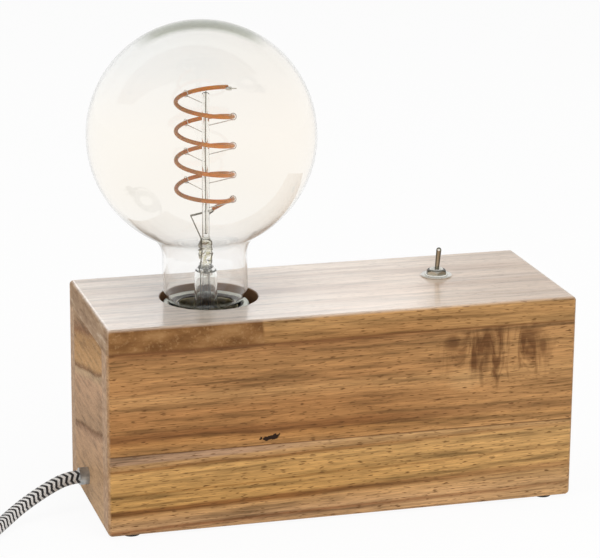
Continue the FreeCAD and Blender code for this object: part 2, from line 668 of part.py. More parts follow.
def stem_glass():
    pinch_low = TOP_Z + PINCH_LOW
    pinch_high = TOP_Z + PINCH_HIGH
    inner = FLARE_RADIUS - FLARE_WALL
    foot = GLASS_COLLAR - GLASS_WALL - 0.6
    flare = turned([
        (foot, GLASS_END_Z), (foot, GLASS_END_Z + FLARE_WALL), (FLARE_RADIUS + 0.8, GLASS_END_Z + 4.5),
        (FLARE_RADIUS, GLASS_END_Z + 8), (FLARE_RADIUS, pinch_low - 1.5), (2.6, pinch_low + 1),
        (0, pinch_low + 1), (0, pinch_low - 1), (inner, pinch_low - 2.5), (inner, GLASS_END_Z + 8),
        (FLARE_RADIUS, GLASS_END_Z + 4.5), (foot - 1.2, GLASS_END_Z),
    ], AXIS_X)
    half_x = PINCH_WIDTH / 2
    half_y = PINCH_DEPTH / 2
    pinch = box(AXIS_X - half_x, AXIS_X + half_x, -half_y, half_y, pinch_low - 0.5, pinch_high)
    exhaust = rod(EXHAUST_RADIUS, AXIS_X, 0, GLASS_END_Z + 1.5, pinch_low)
    whole = fuse([flare, pinch, stem_rod(), exhaust])
    bore = rod(ROD_BORE, AXIS_X, 0, pinch_high + 2, TOP_Z + ROD_TOP + 1)
    exhaust_bore = rod(EXHAUST_BORE, AXIS_X, 0, GLASS_END_Z, pinch_low - 1.5)
    return whole.cut([bore, exhaust_bore] + lead_channels())


def lead_places():
    return [AXIS_X - LEAD_SPACING / 2, AXIS_X + LEAD_SPACING / 2]


def lead_channels():
    """Where the two lead wires run up inside the flare and through the pinch."""
    return [rod(LEAD_RADIUS + LEAD_PLAY, x, 0, TOP_Z + PINCH_LOW - 3, TOP_Z + PINCH_HIGH + 1)
            for x in lead_places()]


def filament_place(turned_by):
    """A point of the filament's centre line, this many degrees along it from its upper end."""
    angle = math.radians(FILAMENT_START + turned_by)
    steady = min(turned_by, FILAMENT_STEADY)
    fall = FILAMENT_PITCH * steady / 360
    flat = max(0.0, turned_by - FILAMENT_STEADY)
    fall += FILAMENT_FLAT_DROP * min(flat, FILAMENT_FLAT) / FILAMENT_FLAT
    tail = max(0.0, flat - FILAMENT_FLAT)
    fall += FILAMENT_TAIL_DROP * (tail / FILAMENT_TAIL) ** 1.3
    return Vector(AXIS_X + FILAMENT_SHIFT + FILAMENT_RADIUS * math.cos(angle),
                  FILAMENT_RADIUS * math.sin(angle), TOP_Z + FILAMENT_TOP - fall)


FILAMENT_END = FILAMENT_STEADY + FILAMENT_FLAT + FILAMENT_TAIL


def filament_heading(turned_by):
    return (filament_place(turned_by + STEP) - filament_place(turned_by - STEP)).normalize()


def filament():
    quarters = int(FILAMENT_END // 90)
    steps = [90 * i for i in range(quarters + 1)] + [FILAMENT_END]
    edges = wound_path(filament_place, steps)
    gap = least_self_gap(edges, FILAMENT_STRAND)
    print(f"  filament: {len(edges)} arcs, length {sum(e.Length for e in edges):.1f}, self gap {gap:.2f}")
    return sweep(edges, FILAMENT_STRAND)


def stem_rod():
    return rod(ROD_RADIUS, AXIS_X, 0, TOP_Z + PINCH_HIGH - 1, TOP_Z + ROD_TOP)


def support(turned_by, fall):
    """A thin wire from the stem's rod out to the filament, hooked half round the strand."""
    strand = filament_place(turned_by)
    outward = Vector(strand.x - AXIS_X, strand.y, 0).normalize()
    loop = FILAMENT_STRAND + SUPPORT_LOOP
    root = Vector(AXIS_X, 0, strand.z - fall)
    low = strand - Vector(0, 0, loop)
    far = strand + outward * loop
    slope = (low - root).normalize()
    path = [Part.LineSegment(root, low).toShape(), arc_between(low, slope, far)]
    return sweep(path, SUPPORT_RADIUS).cut(stem_rod())


def filament_supports():
    return [support(first + 360 * turn, fall)
            for first, fall in zip(SUPPORT_ANGLES, SUPPORT_FALLS) for turn in range(SUPPORT_TURNS)]


def filament_ends():
    """Metal ferrules on the filament's two ends: each with its outer point and its heading."""
    ends = []
    for turned_by, outward in ((0.0, -1), (FILAMENT_END, 1)):
        start = filament_place(turned_by)
        heading = filament_heading(turned_by) * outward
        ferrule = Part.makeCylinder(FILAMENT_STRAND, FERRULE_LENGTH, start, heading)
        ends.append((ferrule, start + heading * FERRULE_LENGTH, heading))
    return ends


def filament_terminals():
    (upper, upper_end, upper_heading), (lower, _, _) = filament_ends()
    tip = Part.makeCylinder(LEAD_RADIUS, TIP_LENGTH, upper_end, upper_heading)
    return [fuse([upper, tip]), lower]


def lead_wires():
    """The left wire feeds the filament's lower end. Another rises inside the rod to its top."""
    left, right = lead_places()
    low_z = GLASS_END_Z - LEAD_BELOW_GLASS
    pinch_high = TOP_Z + PINCH_HIGH
    lower, lower_end, _ = filament_ends()[1]
    knee = lower_end - Vector(*STRIP_REACH)
    through = Part.LineSegment(Vector(left, 0, low_z), Vector(left, 0, pinch_high)).toShape()
    rising, _ = bent_path([(left, 0, pinch_high), (left, 0, pinch_high + LEAD_RISE), tuple(knee)])
    strip = Part.makeCylinder(STRIP_RADIUS, (lower_end - knee).Length, knee, lower_end - knee)
    left_wire = fuse([sweep([through] + rising, LEAD_RADIUS), strip]).cut(lower)
    right_wire = rod(LEAD_RADIUS, right, 0, low_z, pinch_high)
    inner_wire = rod(LEAD_RADIUS, AXIS_X, 0, pinch_high + 2.2, TOP_Z + ROD_TOP + 0.6)
    return [left_wire, right_wire, inner_wire]


def driver_board_z():
    return CAP_THREAD_LOW_Z + DRIVER_BOARD_ABOVE


def driver_board():
    z = driver_board_z()
    board = rod(CAP_RADIUS - SHEET - DRIVER_BOARD_PLAY, AXIS_X, 0, z, z + DRIVER_BOARD_THICKNESS)
    return board.cut([rod(LEAD_RADIUS, x, 0, z - 1, z + 2) for x in lead_places()])


def driver_capacitor():
    can = rod(CAPACITOR_RADIUS, AXIS_X - 3, -3, driver_board_z() - CAPACITOR_LENGTH, driver_board_z())
    return can.makeFillet(0.5, [can.Edges[0], can.Edges[2]])


def build_bulb():
    save("bulb_glass", [bulb_glass()])
    save("bulb_cap", [bulb_cap()])
    save("cap_insulator", [cap_insulator()])
    save("cap_contact", [cap_contact()])
    save("stem_glass", [stem_glass()])
    save("filament", [filament()])
    save("filament_supports", filament_supports())
    save("filament_terminals", filament_terminals())
    save("lead_wires", lead_wires())
    save("driver_board", [driver_board()])
    save("driver_capacitor", [driver_capacitor()])


# ---- toggle switch ----
def tilted(shape, degrees, z):
    """Turned about the switch's cross axis at height z. Positive tips the top to the back."""
    turned_shape = shape.copy()
    turned_shape.rotate(Vector(SWITCH_X, SWITCH_Y, z), Vector(-1, 0, 0), degrees)
    return turned_shape


def across_x(radius, length, z):
    """A round rod along X, centred under the switch's axis at height z."""
    return Part.makeCylinder(radius, length, Vector(SWITCH_X - length / 2, SWITCH_Y, z), Vector(1, 0, 0))


def switch_body():
    half_x = SWITCH_BODY[0] / 2
    half_y = SWITCH_BODY[1] / 2
    wall = SWITCH_WALL
    case = box(SWITCH_X - half_x, SWITCH_X + half_x, SWITCH_Y - half_y, SWITCH_Y + half_y,
               SWITCH_LOW_Z, SWITCH_SEAT_Z)
    room = box(SWITCH_X - half_x + wall, SWITCH_X + half_x - wall, SWITCH_Y - half_y + wall,
               SWITCH_Y + half_y - wall, SWITCH_LOW_Z + wall, SWITCH_SEAT_Z - wall)
    mouth = rod(BUSHING_BORE + 0.4, SWITCH_X, SWITCH_Y, SWITCH_SEAT_Z - 2 * wall, SWITCH_SEAT_Z + 1)
    return case.cut([room, mouth] + switch_lugs())


def switch_bushing():
    top = TOP_Z + BUSHING_ABOVE_TOP
    lip = PIVOT_Z + LIP_ABOVE_PIVOT
    return turned([
        (BUSHING_BORE, SWITCH_SEAT_Z), (BUSHING_RADIUS, SWITCH_SEAT_Z), (BUSHING_RADIUS, top - 0.3),
        (BUSHING_RADIUS - 0.3, top), (BUSHING_MOUTH, top), (BUSHING_LIP, lip),
        (BUSHING_BORE, lip - 0.5), (BUSHING_BORE, SWITCH_SEAT_Z),
    ][:-1], SWITCH_X, SWITCH_Y)


def switch_washer():
    inner = BUSHING_RADIUS + BUSHING_PLAY
    return turned([(inner, TOP_Z), (WASHER_RADIUS, TOP_Z), (WASHER_RADIUS, TOP_Z + 0.35),
                   (WASHER_TOP_RADIUS, TOP_Z + WASHER_HEIGHT), (inner, TOP_Z + WASHER_HEIGHT)],
                  SWITCH_X, SWITCH_Y)


def switch_nut():
    low = TOP_Z + WASHER_HEIGHT
    corner = NUT_ACROSS_FLATS / 2 / math.cos(math.pi / 6)
    points = [Vector(SWITCH_X + corner * math.cos(math.pi / 3 * i + 0.3),
                     SWITCH_Y + corner * math.sin(math.pi / 3 * i + 0.3), low) for i in range(6)]
    prism = Part.Face(Part.makePolygon(points + points[:1])).extrude(Vector(0, 0, NUT_HEIGHT))
    chamfer = cone(corner + 0.6, NUT_ACROSS_FLATS / 2 - 0.2, SWITCH_X, SWITCH_Y, low, low + NUT_HEIGHT)
    bore = rod(BUSHING_RADIUS + BUSHING_PLAY / 2, SWITCH_X, SWITCH_Y, low - 1, low + NUT_HEIGHT + 1)
    return prism.common(chamfer).cut(bore)


def switch_lever():
    tip = PIVOT_Z + LEVER_LENGTH - LEVER_TIP_RADIUS
    bat = cone(LEVER_NECK_RADIUS, LEVER_TIP_RADIUS, SWITCH_X, SWITCH_Y, PIVOT_Z, tip)
    crown = Part.makeSphere(LEVER_TIP_RADIUS, Vector(SWITCH_X, SWITCH_Y, tip))
    ball = Part.makeSphere(PIVOT_BALL, Vector(SWITCH_X, SWITCH_Y, PIVOT_Z))
    tail = rod(TAIL_RADIUS, SWITCH_X, SWITCH_Y, PIVOT_Z - LEVER_TAIL, PIVOT_Z)
    foot = Part.makeSphere(TAIL_BALL, Vector(SWITCH_X, SWITCH_Y, PIVOT_Z - LEVER_TAIL))
    pin = across_x(PIVOT_PIN_RADIUS, PIVOT_PIN_LENGTH, PIVOT_Z)
    return tilted(fuse([bat, crown, ball, pin, tail, foot]), -LEVER_REST, PIVOT_Z)


def switch_rocker():
    size_x, size_y, size_z = ROCKER_SIZE
    plate = box(SWITCH_X - size_x / 2, SWITCH_X + size_x / 2, SWITCH_Y - size_y / 2,
                SWITCH_Y + size_y / 2, ROCKER_Z, ROCKER_Z + size_z)
    rib = across_x(ROCKER_PIN_RADIUS, size_x, ROCKER_Z)
    return tilted(fuse([plate, rib]), ROCKER_REST, ROCKER_Z)


def switch_lugs():
    """Three flat lugs through the switch's floor. The middle one carries the rocker."""
    size_x, size_y, size_z = LUG_SIZE
    dip = ROCKER_SIZE[1] / 2 * math.sin(math.radians(ROCKER_REST))
    outer_top = ROCKER_Z - dip - CONTACT_PLAY
    tops = {-1: outer_top, 0: ROCKER_Z - ROCKER_PIN_RADIUS - CONTACT_PLAY, 1: outer_top}
    return [box(SWITCH_X - size_x / 2, SWITCH_X + size_x / 2,
                SWITCH_Y + side * LUG_PITCH - size_y / 2, SWITCH_Y + side * LUG_PITCH + size_y / 2,
                SWITCH_LOW_Z - size_z, top) for side, top in tops.items()]


def build_switch():
    save("switch_body", [switch_body()])
    save("switch_bushing", [switch_bushing()])
    save("switch_washer", [switch_washer()])
    save("switch_nut", [switch_nut()])
    save("switch_lever", [switch_lever()])
    save("switch_rocker", [switch_rocker()])
    save("switch_lugs", switch_lugs())


# ---- cord inside the block ----
def along_x(radius, x0, x1):
    return Part.makeCylinder(radius, x1 - x0, Vector(x0, CORD_Y, CORD_Z), Vector(1, 0, 0))


def cord_sleeve():
    x0 = -HALF_LENGTH - SLEEVE_OUT
    x1 = -INNER_X + SLEEVE_NUT_THICKNESS + 0.5
    tube = along_x(SLEEVE_RADIUS, x0, x1)
    return tube.cut(along_x(CORD_RADIUS + CORD_PLAY, x0 - 1, x1 + 1))


def sleeve_nut():
    ring = along_x(SLEEVE_NUT_RADIUS, -INNER_X, -INNER_X + SLEEVE_NUT_THICKNESS)
    return ring.cut(along_x(SLEEVE_RADIUS + CORD_PLAY / 2, -INNER_X - 1, -INNER_X + 5))


def clamp_x():
    return -INNER_X + CLAMP_FROM_BOARD + CLAMP_LENGTH / 2


def clamp_hump():
    return CORD_RADIUS + CLAMP_WALL


def clamp_screw_places():
    away = clamp_hump() + CLAMP_PLAY + SCREW_HEAD_RADIUS
    return [(clamp_x(), CORD_Y - away), (clamp_x(), CORD_Y + away)]


def cord_clamp():
    """A saddle over the cord, screwed to the bottom panel."""
    x0 = clamp_x() - CLAMP_LENGTH / 2
    x1 = clamp_x() + CLAMP_LENGTH / 2
    half_y = clamp_hump() + 2 * (SCREW_HEAD_RADIUS + CLAMP_PLAY)
    base = box(x0, x1, CORD_Y - half_y, CORD_Y + half_y, PANEL_TOP_Z, PANEL_TOP_Z + CLAMP_WALL)
    hump = along_x(clamp_hump(), x0, x1)
    column = box(x0, x1, CORD_Y - clamp_hump(), CORD_Y + clamp_hump(), PANEL_TOP_Z, CORD_Z)
    holes = [rod(WOOD_SCREW_RADIUS + CORD_PLAY, x, y, PANEL_TOP_Z - 1, PANEL_TOP_Z + 4)
             for x, y in clamp_screw_places()]
    return fuse([base, hump, column]).cut(holes + [along_x(CORD_RADIUS, x0 - 1, x1 + 1)])


def clamp_screws():
    """Short screws that point down through the saddle into the panel."""
    seat = PANEL_TOP_Z + CLAMP_WALL
    screws = []
    for x, y in clamp_screw_places():
        head = rod(SCREW_HEAD_RADIUS, x, y, seat, seat + SCREW_HEAD_HEIGHT)
        screws.append(fuse([head, rod(WOOD_SCREW_RADIUS, x, y, PANEL_LOW_Z + 0.5, seat)]))
    return screws


def wire(name, points):
    tube, _ = cord_tube(name, points, WIRE_RADIUS)
    return tube


def build_wiring():
    jacket_end = -INNER_X + JACKET_END
    save("cord_sleeve", [cord_sleeve()])
    save("sleeve_nut", [sleeve_nut()])
    save("cord_clamp", [cord_clamp()])
    save("clamp_screws", clamp_screws())
    save("cord_inner", [along_x(CORD_RADIUS, -HALF_LENGTH, jacket_end)])
    lug_z = SWITCH_LOW_Z - LUG_SIZE[2]
    terminal_y = INSERT_BOSS_HALF_WIDTH + TERMINAL_SIZE[1] / 2
    live_y = CORD_Y + WIRE_SPACING
    neutral_y = CORD_Y - WIRE_SPACING
    save("live_wire", [wire("live_wire", [
        (jacket_end, live_y, CORD_Z), (jacket_end + 16, live_y, CORD_Z), (AXIS_X + 26.0, 9.0, 11.0),
        (AXIS_X + 58.0, 11.0, 13.0), (SWITCH_X - 17.6, 10.0, 27.0), (SWITCH_X - 2.6, SWITCH_Y + 0.6, 47.0),
        (SWITCH_X, SWITCH_Y, lug_z - 12), (SWITCH_X, SWITCH_Y, lug_z)])])
    save("neutral_wire", [wire("neutral_wire", [
        (jacket_end, neutral_y, CORD_Z), (jacket_end + 8, neutral_y, CORD_Z),
        (AXIS_X - 1.6, 1.8, CORD_Z + 9), (AXIS_X, 2.0, JOINT_Z - DOME_HEIGHT + 3.5),
        (AXIS_X, terminal_y, TERMINAL_LOW_Z - 3.5), (AXIS_X, terminal_y, TERMINAL_LOW_Z)])])
    save("switched_wire", [wire("switched_wire", [
        (SWITCH_X, SWITCH_Y - LUG_PITCH, lug_z), (SWITCH_X, SWITCH_Y - LUG_PITCH, lug_z - 9),
        (SWITCH_X - 13.6, -6.0, 46.0), (SWITCH_X - 39.6, -12.0, 32.0), (AXIS_X + 34.0, -12.0, 22.0),
        (AXIS_X + 12.0, -7.0, 18.0),
        (AXIS_X + 1.0, -2.4, 24.0), (AXIS_X, -2.0, JOINT_Z - DOME_HEIGHT + 3.5),
        (AXIS_X, -terminal_y, TERMINAL_LOW_Z - 3.5), (AXIS_X, -terminal_y, TERMINAL_LOW_Z)])])


# ---- free cord ----
def coil_frame():
    """The coil's centre and the angle at which the lead meets its outer turn, seen from above."""
    end = Vector(*LEAD_POINTS[-1])
    heading = (end - Vector(*LEAD_POINTS[-2])).normalize()
    meet = end + heading * CORD
    drift = math.atan(COIL_PITCH / (2 * math.pi * COIL_OUTER))
    first_angle = math.atan2(heading.y, heading.x) + math.pi / 2 + drift
    centre = meet - Vector(math.cos(first_angle), math.sin(first_angle), 0) * COIL_OUTER
    return centre, first_angle


def coil_place(turns):
    """A point of the coil's centre line. It winds clockwise: in, up a layer, and out again."""
    centre, first_angle = coil_frame()
    angle = first_angle - 2 * math.pi * turns
    climb = min(max((turns - COIL_TURNS) / 0.5, 0.0), 1.0)
    inward = min(turns, COIL_TURNS + 0.25)
    outward = max(turns - COIL_TURNS - 0.25, 0.0)
    radius = COIL_OUTER - COIL_PITCH * inward + COIL_PITCH * outward
    lift = LAYER_RISE * climb ** 2 * (3 - 2 * climb)
    return Vector(centre.x + radius * math.cos(angle), centre.y + radius * math.sin(angle),
                  CORD_RADIUS + lift)


COIL_ALL_TURNS = 2 * COIL_TURNS + 0.5


def coil_edges():
    """Straight for one diameter, then biarcs of a quarter turn, then straight again."""
    quarters = int(COIL_ALL_TURNS * 4)
    steps = [i / 4 for i in range(quarters + 1)]
    if COIL_ALL_TURNS - steps[-1] < 0.1:
        steps.pop()
    steps.append(COIL_ALL_TURNS)
    wound = wound_path(coil_place, steps)
    start = wound[0].valueAt(wound[0].FirstParameter)
    first = wound[0].tangentAt(wound[0].FirstParameter)
    end = wound[-1].valueAt(wound[-1].LastParameter)
    last = wound[-1].tangentAt(wound[-1].LastParameter)
    lead_in = Part.LineSegment(start - first * CORD, start).toShape()
    lead_out = Part.LineSegment(end, end + last * CORD).toShape()
    return [lead_in] + wound + [lead_out], end + last * CORD, last


def tail_points():
    """From the coil's outer turn, up onto the coil, to the plug's strain relief."""
    _, start, heading = coil_edges()
    points = [start]
    yaw = math.atan2(heading.y, heading.x)
    for run, turn, rise in TAIL_STEPS:
        yaw -= math.radians(turn)
        points.append(points[-1] + Vector(run * math.cos(yaw), run * math.sin(yaw), rise))
    return points, yaw


def plug_parts():
    """Relief, body and pins along +X from the cord's end, lying flat about the origin's height."""
    relief = Part.makeCone(RELIEF_REAR_RADIUS, RELIEF_FRONT_RADIUS, RELIEF_LENGTH, Vector(0, 0, 0),
                           Vector(1, 0, 0))
    rear = RELIEF_LENGTH
    face = rear + PLUG_LENGTH
    shoulder = face - PLUG_NOSE
    outline = [(rear, -PLUG_REAR_WIDTH / 2), (shoulder, -PLUG_WIDTH / 2), (face, -PLUG_WIDTH / 2),
               (face, PLUG_WIDTH / 2), (shoulder, PLUG_WIDTH / 2), (rear, PLUG_REAR_WIDTH / 2)]
    points = [Vector(x, y, -PLUG_THICK / 2) for x, y in outline]
    body = Part.Face(Part.makePolygon(points + points[:1])).extrude(Vector(0, 0, PLUG_THICK))
    body = body.makeFillet(PLUG_ROUND, body.Edges)
    pins = [Part.makeCylinder(PIN_RADIUS, PIN_LENGTH, Vector(face, side * PIN_SPACING / 2, 0),
                              Vector(1, 0, 0)) for side in (-1, 1)]
    return relief, body, pins


def placed(shape, at, yaw):
    moved = shape.copy()
    moved.rotate(Vector(0, 0, 0), Vector(0, 0, 1), math.degrees(yaw))
    moved.translate(at)
    return moved


def build_cord():
    lead, lead_length = cord_tube("cord_lead", LEAD_POINTS, CORD_RADIUS)
    save("cord_lead", [lead])
    edges, _, _ = coil_edges()
    coil = sweep(edges, CORD_RADIUS)
    coil_length = sum(e.Length for e in edges)
    gap = least_self_gap(edges, CORD_RADIUS)
    share = coil.Volume / (math.pi * CORD_RADIUS ** 2 * coil_length)
    print(f"  cord_coil: length {coil_length:.1f}, self gap {gap:.2f}, volume share {share:.4f}")
    save("cord_coil", [coil])
    points, yaw = tail_points()
    tail, tail_length = cord_tube("cord_tail", [tuple(p) for p in points], CORD_RADIUS)
    save("cord_tail", [tail])
    relief, body, pins = plug_parts()
    save("plug_relief", [placed(relief, points[-1], yaw)])
    save("plug_body", [placed(body, points[-1], yaw)])
    save("plug_pins", [placed(pin, points[-1], yaw) for pin in pins])
    print(f"  free cord: {lead_length + coil_length + tail_length:.0f} mm in all")


build_block()
build_holder()
build_bulb()
build_switch()
build_wiring()
build_cord()
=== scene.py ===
"""The looks of the bare bulb table lamp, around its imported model. Metres, in the model's frame."""
import math

import bmesh
import bpy
import numpy as np
from mathutils import Matrix, Vector


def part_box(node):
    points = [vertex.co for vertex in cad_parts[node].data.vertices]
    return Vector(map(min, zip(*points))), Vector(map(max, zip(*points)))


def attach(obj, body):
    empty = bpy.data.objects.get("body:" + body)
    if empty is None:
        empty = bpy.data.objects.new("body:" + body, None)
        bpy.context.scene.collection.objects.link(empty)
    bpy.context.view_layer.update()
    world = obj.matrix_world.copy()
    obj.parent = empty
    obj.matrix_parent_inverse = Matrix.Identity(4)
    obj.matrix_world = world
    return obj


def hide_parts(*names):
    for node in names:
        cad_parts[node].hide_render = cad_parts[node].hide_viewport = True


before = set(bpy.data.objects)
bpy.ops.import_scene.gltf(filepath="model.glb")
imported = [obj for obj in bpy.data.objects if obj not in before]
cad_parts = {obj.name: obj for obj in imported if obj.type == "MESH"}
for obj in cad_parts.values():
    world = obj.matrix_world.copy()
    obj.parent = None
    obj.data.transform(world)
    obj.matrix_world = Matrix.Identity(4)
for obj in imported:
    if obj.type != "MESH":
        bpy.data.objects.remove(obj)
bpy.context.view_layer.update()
MM = 0.001


# ---- places that come from the frame ----
TOP_LOW, TOP_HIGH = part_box("top_board")
TOP_Z = TOP_HIGH.z
END_X = TOP_HIGH.x
CAP_LOW, CAP_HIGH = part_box("bulb_cap")
BULB_X = (CAP_LOW.x + CAP_HIGH.x) / 2
CAP_RIM_Z = CAP_HIGH.z
HOLE_X = -48.8 * MM
HOLE_RADIUS = 20.5 * MM


# ---- shader trees ----
class Tree:
    """A material's or a world's nodes. Each method adds a node and gives its output socket."""

    def __init__(self, name, world=False):
        self.owner = (bpy.data.worlds if world else bpy.data.materials).new(name)
        self.owner.use_nodes = True
        self.nodes = self.owner.node_tree.nodes
        self.links = self.owner.node_tree.links
        self.nodes.clear()
        self.output = self.nodes.new("ShaderNodeOutputWorld" if world else "ShaderNodeOutputMaterial")

    def put(self, socket, value):
        if isinstance(value, bpy.types.NodeSocket):
            self.links.new(value, socket)
        elif isinstance(value, (tuple, list)) and len(value) == 3 and socket.type == "RGBA":
            socket.default_value = (*value, 1.0)
        else:
            socket.default_value = value

    def add(self, kind, out=0, settings=None, **inputs):
        node = self.nodes.new("ShaderNode" + kind)
        for key, value in (settings or {}).items():
            setattr(node, key, value)
        for key, value in inputs.items():
            found = [s for s in node.inputs if s.name.replace(" ", "_") == key and s.enabled]
            self.put(found[0], value)
        return node.outputs[out]

    def math(self, operation, *values):
        node = self.nodes.new("ShaderNodeMath")
        node.operation = operation
        for socket, value in zip(node.inputs, values):
            self.put(socket, value)
        return node.outputs[0]

    def plus(self, a, b):
        return self.math("ADD", a, b)

    def minus(self, a, b):
        return self.math("SUBTRACT", a, b)

    def times(self, a, b):
        return self.math("MULTIPLY", a, b)

    def larger(self, a, b):
        return self.math("MAXIMUM", a, b)

    def mix(self, factor, a, b, blend="MIX"):
        node = self.nodes.new("ShaderNodeMix")
        node.data_type = "RGBA"
        node.blend_type = blend
        self.put(node.inputs[0], factor)
        self.put(node.inputs[6], a)
        self.put(node.inputs[7], b)
        return node.outputs[2]

    def over(self, colour, paint, mask, share=1.0):
        """Paint over a colour where mask is 1, up to this share."""
        return self.mix(mask if share == 1.0 else self.times(mask, share), colour, paint)

    def tinted(self, colour, tint):
        return self.mix(1.0, colour, tint, "MULTIPLY")

    def mix_shader(self, factor, a, b):
        """Give the output a mix of two shaders."""
        node = self.nodes.new("ShaderNodeMixShader")
        for socket, value in zip(node.inputs, (factor, a, b)):
            self.put(socket, value)
        self.put(self.output.inputs[0], node.outputs[0])

    def ramp(self, factor, stops):
        """A colour ramp of (place, colour) stops, or of (place, grey) ones."""
        node = self.nodes.new("ShaderNodeValToRGB")
        elements = node.color_ramp.elements
        while len(elements) < len(stops):
            elements.new(0.5)
        for element, (place, colour) in zip(elements, stops):
            element.position = place
            grey = isinstance(colour, (int, float))
            element.color = (colour, colour, colour, 1.0) if grey else (*colour, 1.0)
        self.put(node.inputs[0], factor)
        return node.outputs[0]

    def span(self, value, low, high):
        """0 where value is low, 1 where it is high."""
        node = self.nodes.new("ShaderNodeMapRange")
        for socket, number in zip(node.inputs, (value, low, high, 0.0, 1.0)):
            self.put(socket, number)
        return node.outputs[0]

    def place(self):
        """The point's place in the model's frame, in metres."""
        return self.add("TexCoord", out=3)

    def axes(self, vector):
        node = self.nodes.new("ShaderNodeSeparateXYZ")
        self.put(node.inputs[0], vector)
        return node.outputs[0], node.outputs[1], node.outputs[2]

    def vector(self, x, y, z):
        node = self.nodes.new("ShaderNodeCombineXYZ")
        for socket, value in zip(node.inputs, (x, y, z)):
            self.put(socket, value)
        return node.outputs[0]

    def noise(self, place, stretch, shift=(0, 0, 0), detail=3.0, roughness=0.55, warp=0.0):
        """Noise of about this many waves a metre along each axis."""
        mapping = self.nodes.new("ShaderNodeMapping")
        self.put(mapping.inputs[0], place)
        mapping.inputs[1].default_value = shift
        mapping.inputs[3].default_value = stretch
        return self.add("TexNoise", Vector=mapping.outputs[0], Scale=1.0, Detail=detail,
                        Roughness=roughness, Distortion=warp)

    def wave(self, place, stretch, amount, detail=3.0):
        """Noise about 0 that swings by up to half of amount."""
        return self.times(self.minus(self.noise(place, stretch, detail=detail), 0.5), amount)

    def direct_rays(self):
        """1 for rays straight from the camera, or by way of metal or glass."""
        path = self.nodes.new("ShaderNodeLightPath").outputs
        shining = self.larger(path["Is Glossy Ray"], path["Is Transmission Ray"])
        return self.larger(path["Is Camera Ray"], shining)

    def edge_on(self):
        """Near 1 where the surface is seen edge on."""
        return self.add("LayerWeight", out=1, Blend=0.5)

    def bump(self, height, distance, strength):
        node = self.nodes.new("ShaderNodeBump")
        for socket, value in (("Strength", strength), ("Distance", distance), ("Height", height)):
            self.put(node.inputs[socket], value)
        return node.outputs[0]

    def principled(self, **inputs):
        node = self.nodes.new("ShaderNodeBsdfPrincipled")
        for key, value in inputs.items():
            self.put(node.inputs[key.replace("_", " ")], value)
        self.links.new(node.outputs[0], self.output.inputs[0])
        return self.owner


def dress(name, material):
    """Give a CAD node its material."""
    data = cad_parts[name].data
    data.materials.clear()
    data.materials.append(material)


# ---- camera: the photograph's ----
AZIMUTH, ELEVATION, ROLL = (math.radians(a) for a in (15.951, 15.893, 0.479))
CAMERA_PLACE = Vector((-0.2977, -1.0094, 0.3927))
FOCAL_LENGTH = 155.45
SENSOR = 36.0


def make_camera():
    ahead = Vector((math.sin(AZIMUTH) * math.cos(ELEVATION), math.cos(AZIMUTH) * math.cos(ELEVATION),
                    -math.sin(ELEVATION)))
    right = Vector((math.cos(AZIMUTH), -math.sin(AZIMUTH), 0.0))
    up = right.cross(ahead)
    across = right * math.cos(ROLL) + up * math.sin(ROLL)
    upward = up * math.cos(ROLL) - right * math.sin(ROLL)
    data = bpy.data.cameras.new("camera")
    data.sensor_fit = "HORIZONTAL"
    data.sensor_width = SENSOR
    data.lens = FOCAL_LENGTH
    data.clip_start = 0.05
    camera = bpy.data.objects.new("camera", data)
    turn = Matrix((across, upward, -ahead)).transposed()
    camera.matrix_world = Matrix.Translation(CAMERA_PLACE) @ turn.to_4x4()
    bpy.context.scene.collection.objects.link(camera)
    bpy.context.scene.camera = camera


# ---- studio ----
def make_world():
    """White below and around the horizon, greyer overhead for what shines, dim for diffuse light."""
    tree = Tree("studio", world=True)
    bpy.context.scene.world = tree.owner
    height = tree.axes(tree.add("TexCoord"))[2]
    sky = tree.ramp(tree.span(height, -1.0, 1.0), [
        (0.50, 1.0), (0.58, 0.94), (0.70, 0.80), (0.85, 0.62), (1.0, 0.50)])
    shining = tree.add("Background", Color=sky, Strength=1.0)
    ambient = tree.add("Background", Color=(1.0, 0.99, 0.97), Strength=0.36)
    tree.mix_shader(tree.direct_rays(), ambient, shining)


def make_floor():
    mesh = bpy.data.meshes.new("floor")
    reach = 4.0
    mesh.from_pydata([(-reach, -reach, 0), (reach, -reach, 0), (reach, reach, 0), (-reach, reach, 0)], [],
                     [(0, 1, 2, 3)])
    floor = bpy.data.objects.new("floor", mesh)
    bpy.context.scene.collection.objects.link(floor)
    tree = Tree("floor")
    diffuse = tree.add("BsdfDiffuse", Color=(0.86, 0.86, 0.86))
    glow = tree.add("Emission", Color=(1.0, 1.0, 1.0), Strength=1.0)
    tree.mix_shader(tree.times(tree.direct_rays(), 0.93), diffuse, glow)    # the rest keeps the shadow
    mesh.materials.append(tree.owner)


def area_light(name, place, aim, size, power):
    data = bpy.data.lights.new(name, "AREA")
    data.shape = "RECTANGLE"
    data.size, data.size_y = size
    data.energy = power
    light = bpy.data.objects.new(name, data)
    light.location = place
    light.rotation_euler = (Vector(aim) - Vector(place)).to_track_quat("-Z", "Y").to_euler()
    bpy.context.scene.collection.objects.link(light)
    return light


